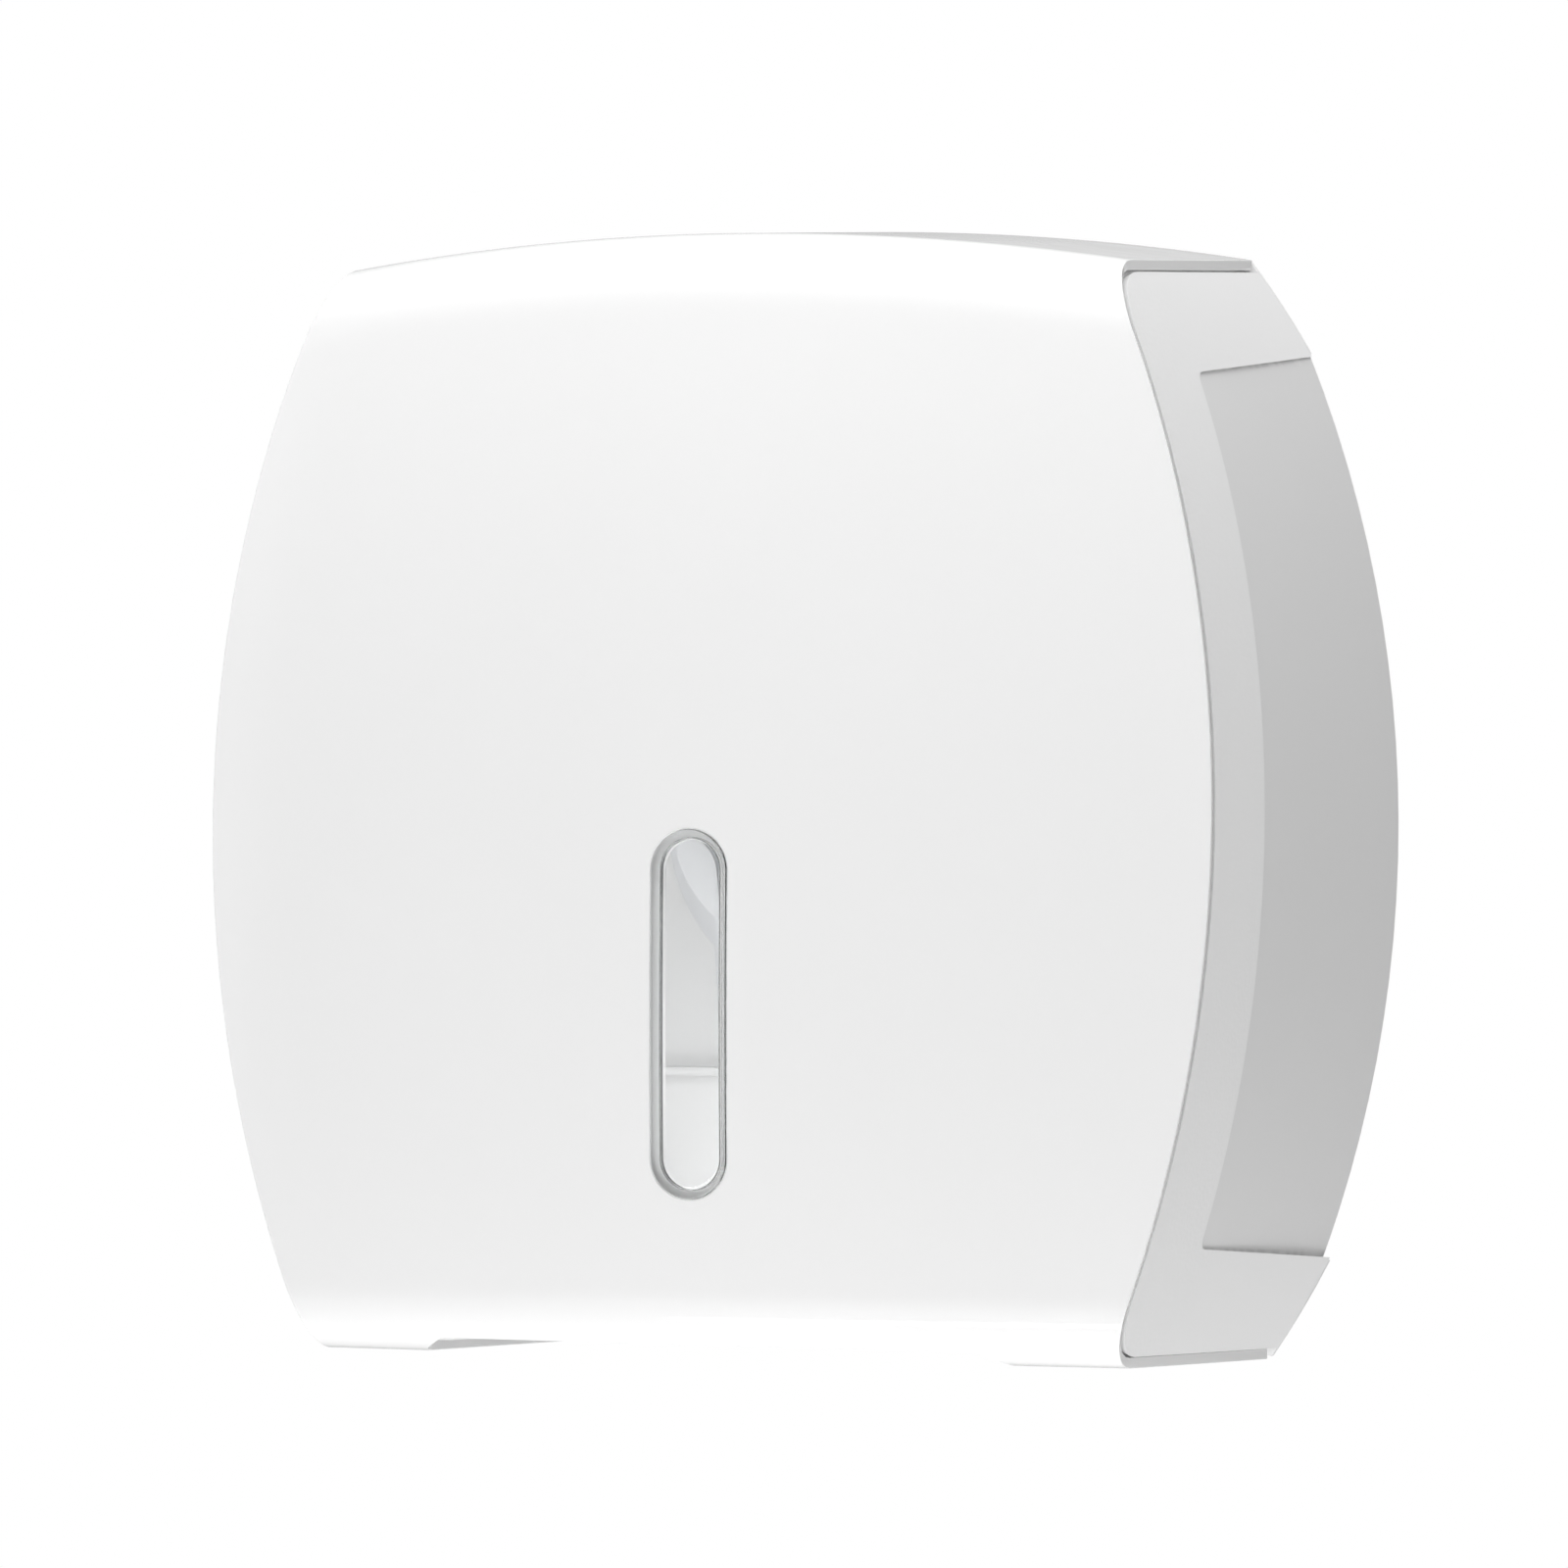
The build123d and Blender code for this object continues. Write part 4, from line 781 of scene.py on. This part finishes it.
def window_lens():
    """The cup's section carried round a round-ended outline: distance in from the outline against height
    over the cover's skin, out and back, so that both ends close on the outline's own middle line."""
    arc_count, side_count = 33, 39
    turn = np.linspace(0, math.pi / 2, 7)
    rounding = [(LENS_RIM * (1 - math.sin(t)), LENS_PROUD - LENS_RIM * (1 - math.cos(t))) for t in turn]
    half = WINDOW_WIDTH / 2
    face = [(d, LENS_PROUD) for d in np.linspace(half, LENS_RIM, 9)[:-1]]
    back = [(0.0, -2.5), (-3.5, -2.5), (-3.5, -4.0), (2.0, -4.0), (2.0, -1.9)]
    inner = [(2.12, -1.62), (2.4, -1.5)] + [(d, -1.5) for d in np.linspace(3.2, half, 7)]
    section = np.array(face + rounding + back + inner)
    straight = (WINDOW_HEIGHT - WINDOW_WIDTH) / 2
    arc = np.linspace(0, math.pi, arc_count)
    side = np.linspace(straight, -straight, side_count + 2)[1:-1]
    out, flat = np.ones(side_count), np.zeros(side_count)
    ring_x = np.concatenate([np.cos(arc), -out, -np.cos(arc), out])
    ring_z = np.concatenate([np.sin(arc), flat, -np.sin(arc), flat])
    end = np.full(arc_count, straight)
    level = np.concatenate([end, side, -end, side[::-1]])
    reach = half - section[:, :1]
    x = reach * ring_x[None]
    z = WINDOW_Z + level[None] + reach * ring_z[None]
    y = front_y(x, z, -section[:, 1:])
    points = np.stack([x, y, z], -1)
    rows, columns = x.shape
    index = np.arange(rows * columns).reshape(rows, columns)
    after = np.roll(index, -1, axis=1)
    faces = np.stack([index[:-1], index[1:], after[1:], after[:-1]], -1).reshape(-1, 4)
    piece = mesh_piece("window_lens_cup", points, faces.tolist())
    shape = bmesh.new()
    shape.from_mesh(piece.data)
    bmesh.ops.dissolve_degenerate(shape, edges=shape.edges, dist=0.000005)
    bmesh.ops.recalc_face_normals(shape, faces=shape.faces)
    shape.to_mesh(piece.data)
    shape.free()
    round_edges(piece, 0.12, segments=2, angle=40)
    return piece


def clear_polycarbonate(name):
    """Polished clear polycarbonate: water-clear, hard gloss, with hair scratches too fine to see singly
    that only roughen it a little in patches of about 5 mm. Light passes it without casting a shadow."""
    material, tree, shader, place = start_material(
        name, IOR=1.585, Transmission_Weight=1.0, Base_Color=linear("FBFCFC"),
    )
    haze = add(tree, "ShaderNodeTexNoise", [(place, "Vector")], Scale=1 / 0.005, Detail=3.0)
    gloss_between(tree, shader, haze.outputs["Fac"], 0.0, 0.04)
    output = next(n for n in tree.nodes if n.type == "OUTPUT_MATERIAL")
    through = add(tree, "ShaderNodeBsdfTransparent")
    shadow = tree.nodes.new("ShaderNodeLightPath").outputs["Is Shadow Ray"]
    mix = add(
        tree, "ShaderNodeMixShader", [(shadow, "Fac"), (shader.outputs[0], 1), (through.outputs[0], 2)],
    )
    tree.links.new(mix.outputs[0], output.inputs["Surface"])
    return material


polycarbonate_clear = clear_polycarbonate("polycarbonate_clear")
place_piece(window_lens(), polycarbonate_clear, "cover", "lens_clear", "window_lens")
refine("window_frame", "window_frame_ring", abs_satin_white, "cover", "plate_abs", edge=0.25)
refine("window_screws", "window_screw_set", steel_zinc_plated, "cover", "zinc_steel", edge=0.15)

# ---- tear bars ----
# Two stamped stainless strips with 24 teeth each, screwed to the rails at the ends of the outlet.

refine("left_tear_bar", "left_tear_bar_strip", stainless_rolled, "cover", "stainless", edge=0.08)
refine("right_tear_bar", "right_tear_bar_strip", stainless_rolled, "cover", "stainless", edge=0.08)
refine("tear_bar_screws", "tear_bar_screw_set", steel_zinc_plated, "cover", "zinc_steel", edge=0.25)

# ---- lock ----
# A nickel-plated zinc cam lock let into the crown of the top: threaded housing, steel nut under the
# boss, turning barrel with a keyway, and a steel cam held on by a screw.

nickel_plated = plated_steel("nickel_plated", "CBC8C2", "DAD8D3", 0.16, 0.0004)
refine("lock_housing", "lock_housing_body", nickel_plated, "cover", "lock_nickel", edge=0.25, segments=3)
refine("lock_nut", "lock_nut_hex", steel_zinc_plated, "cover", "zinc_steel", edge=0.3)
refine("lock_barrel", "lock_barrel_plug", nickel_plated, "lock", "lock_nickel", edge=0.2, segments=3)
refine("lock_cam", "lock_cam_arm", steel_zinc_plated, "lock", "zinc_steel", edge=0.25)
refine("cam_screw", "cam_screw_slotted", steel_zinc_plated, "lock", "zinc_steel", edge=0.2)

# ---- floor ----
# A plain pale round of card well below the dispenser, which hangs on a wall that isn't shown.

FLOOR_Z = -620.0
FLOOR_Y = -60.0
FLOOR_R = 1500.0


def floor_disc():
    """Flat disc as a polar grid: radius against angle, closed at its middle."""
    rings, spokes = 9, 97
    radius = np.linspace(0, FLOOR_R, rings)[:, None]
    angle = np.linspace(0, 2 * math.pi, spokes)[None]
    level = np.full((rings, spokes), FLOOR_Z)
    points = np.stack([radius * np.cos(angle), radius * np.sin(angle) + FLOOR_Y, level], -1)
    return mesh_piece("pale_floor", points, grid_faces(rings, spokes))


def pale_card(name):
    """Uncoated card: nearly white, quite rough, with a fibre mottle of about 2 mm."""
    material, tree, shader, place = start_material(name, Roughness=0.85)
    fibre = add(tree, "ShaderNodeTexNoise", [(place, "Vector")], Scale=1 / 0.002, Detail=4.0)
    tree.links.new(ramp(tree, fibre.outputs["Fac"], "F4F4F4", "F8F8F8"), shader.inputs["Base Color"])
    return material


floor = floor_disc()
floor.data.materials.append(pale_card("pale_card"))

# ---- light ----
# A small white studio: soft boxes close above, below, left, right and in front of the dispenser, two thin
# strips that draw the lines along the rolled corners, a faint room light and small fills in the chamber.


def studio_world():
    """White to the eye. What it lights gets a low even level, with more from the wall's side."""
    world = bpy.data.worlds.new("studio_world")
    world.use_nodes = True
    tree = world.node_tree
    tree.nodes.clear()
    place = tree.nodes.new("ShaderNodeTexCoord").outputs["Generated"]
    parts = add(tree, "ShaderNodeSeparateXYZ", [(place, "Vector")])
    rear = add(tree, "ShaderNodeMath", [(parts.outputs["Y"], 0)], operation="MAXIMUM")
    rear.inputs[1].default_value = 0.0
    level = add(tree, "ShaderNodeMath", [(rear.outputs[0], 0)], operation="MULTIPLY_ADD")
    level.inputs[1].default_value = 0.3
    level.inputs[2].default_value = 0.15
    lit = add(tree, "ShaderNodeBackground", [(level.outputs[0], "Strength")])
    seen = add(tree, "ShaderNodeBackground", Strength=1.0)
    for background in (lit, seen):
        background.inputs["Color"].default_value = (1, 1, 1, 1)
    path = tree.nodes.new("ShaderNodeLightPath").outputs["Is Camera Ray"]
    mix = add(tree, "ShaderNodeMixShader", [(path, "Fac"), (lit.outputs[0], 1), (seen.outputs[0], 2)])
    add(tree, "ShaderNodeOutputWorld", [(mix.outputs[0], "Surface")])
    bpy.context.scene.world = world


def soft_box(name, place, aim, size, power, mirrored=True, lighting=True):
    """Rectangular area light at a place, facing a point, unseen by the camera. Boxes that aren't mirrored
    light the gloss without showing in it; strips that aren't lighting only show in it."""
    data = bpy.data.lights.new(name, "AREA")
    data.shape = "RECTANGLE"
    data.size, data.size_y = size
    data.energy = power
    box = bpy.data.objects.new(name, data)
    bpy.context.scene.collection.objects.link(box)
    box.location = place
    box.rotation_mode = "QUATERNION"
    box.rotation_quaternion = (Vector(place) - Vector(aim)).to_track_quat("Z", "Y")
    box.visible_camera = False
    box.visible_glossy = mirrored
    box.visible_diffuse = lighting


def chamber_fill(name, place, power):
    """Small round lamp inside the cover that only lights: it shows in no gloss and through no window."""
    data = bpy.data.lights.new(name, "POINT")
    data.energy = power
    data.shadow_soft_size = 0.02
    lamp = bpy.data.objects.new(name, data)
    bpy.context.scene.collection.objects.link(lamp)
    lamp.location = place
    lamp.visible_camera = False
    lamp.visible_glossy = False
    lamp.visible_transmission = False


studio_world()
soft_box("box_top_front", (-0.05, -0.42, 0.50), (0.0, -0.06, 0.02), (0.9, 0.35), 2.64, mirrored=False)
soft_box("box_low_front", (-0.05, -0.42, -0.48), (0.0, -0.08, -0.02), (0.9, 0.3), 1.08, mirrored=False)
soft_box("box_over", (0.0, -0.06, 0.60), (0.0, -0.06, 0.0), (0.8, 0.5), 1.85, mirrored=False)
soft_box("box_under", (0.0, -0.06, -0.55), (0.0, -0.06, 0.0), (0.8, 0.5), 0.8, mirrored=False)
soft_box("box_right_high", (0.45, -0.15, 0.50), (0.1, -0.06, 0.05), (0.4, 0.6), 1.3)
soft_box("box_right_low", (0.45, -0.15, -0.50), (0.1, -0.06, -0.05), (0.4, 0.6), 1.12)
soft_box("box_left", (-0.80, -0.60, 0.10), (0.0, -0.06, 0.0), (0.5, 0.8), 0.84)
soft_box("box_far_low", (0.0, -0.90, -0.55), (0.0, -0.1, -0.02), (0.9, 0.3), 3.55, mirrored=False)
soft_box("strip_top", (-0.045, -0.355, 0.623), (0.05, -0.1, 0.12), (0.32, 0.04), 0.2, lighting=False)
soft_box("strip_low", (-0.045, -0.456, -0.558), (0.05, -0.1, -0.12), (0.32, 0.04), 0.2, lighting=False)
chamber_fill("fill_middle", (0.0, -0.09, -0.056), 0.042)
chamber_fill("fill_left", (-0.07, -0.085, -0.01), 0.045)
chamber_fill("fill_right", (0.07, -0.085, -0.01), 0.045)

# ---- camera ----
# To the right of the front by 20 degrees and nearly level, with a long lens.

target = Vector((0.002665, -0.06, 0.010))
azimuth, elevation, distance = math.radians(20), math.radians(0.8), 2.3
back = Vector((
    math.sin(azimuth) * math.cos(elevation), -math.cos(azimuth) * math.cos(elevation), math.sin(elevation),
))
lens = bpy.data.cameras.new("long_lens")
lens.lens = 222.5
lens.sensor_width = 36
camera = bpy.data.objects.new("long_lens", lens)
bpy.context.scene.collection.objects.link(camera)
camera.location = target + back * distance
camera.rotation_mode = "QUATERNION"
camera.rotation_quaternion = (-back).to_track_quat("-Z", "Y")
bpy.context.scene.camera = camera
bpy.context.scene.view_settings.view_transform = "Standard"
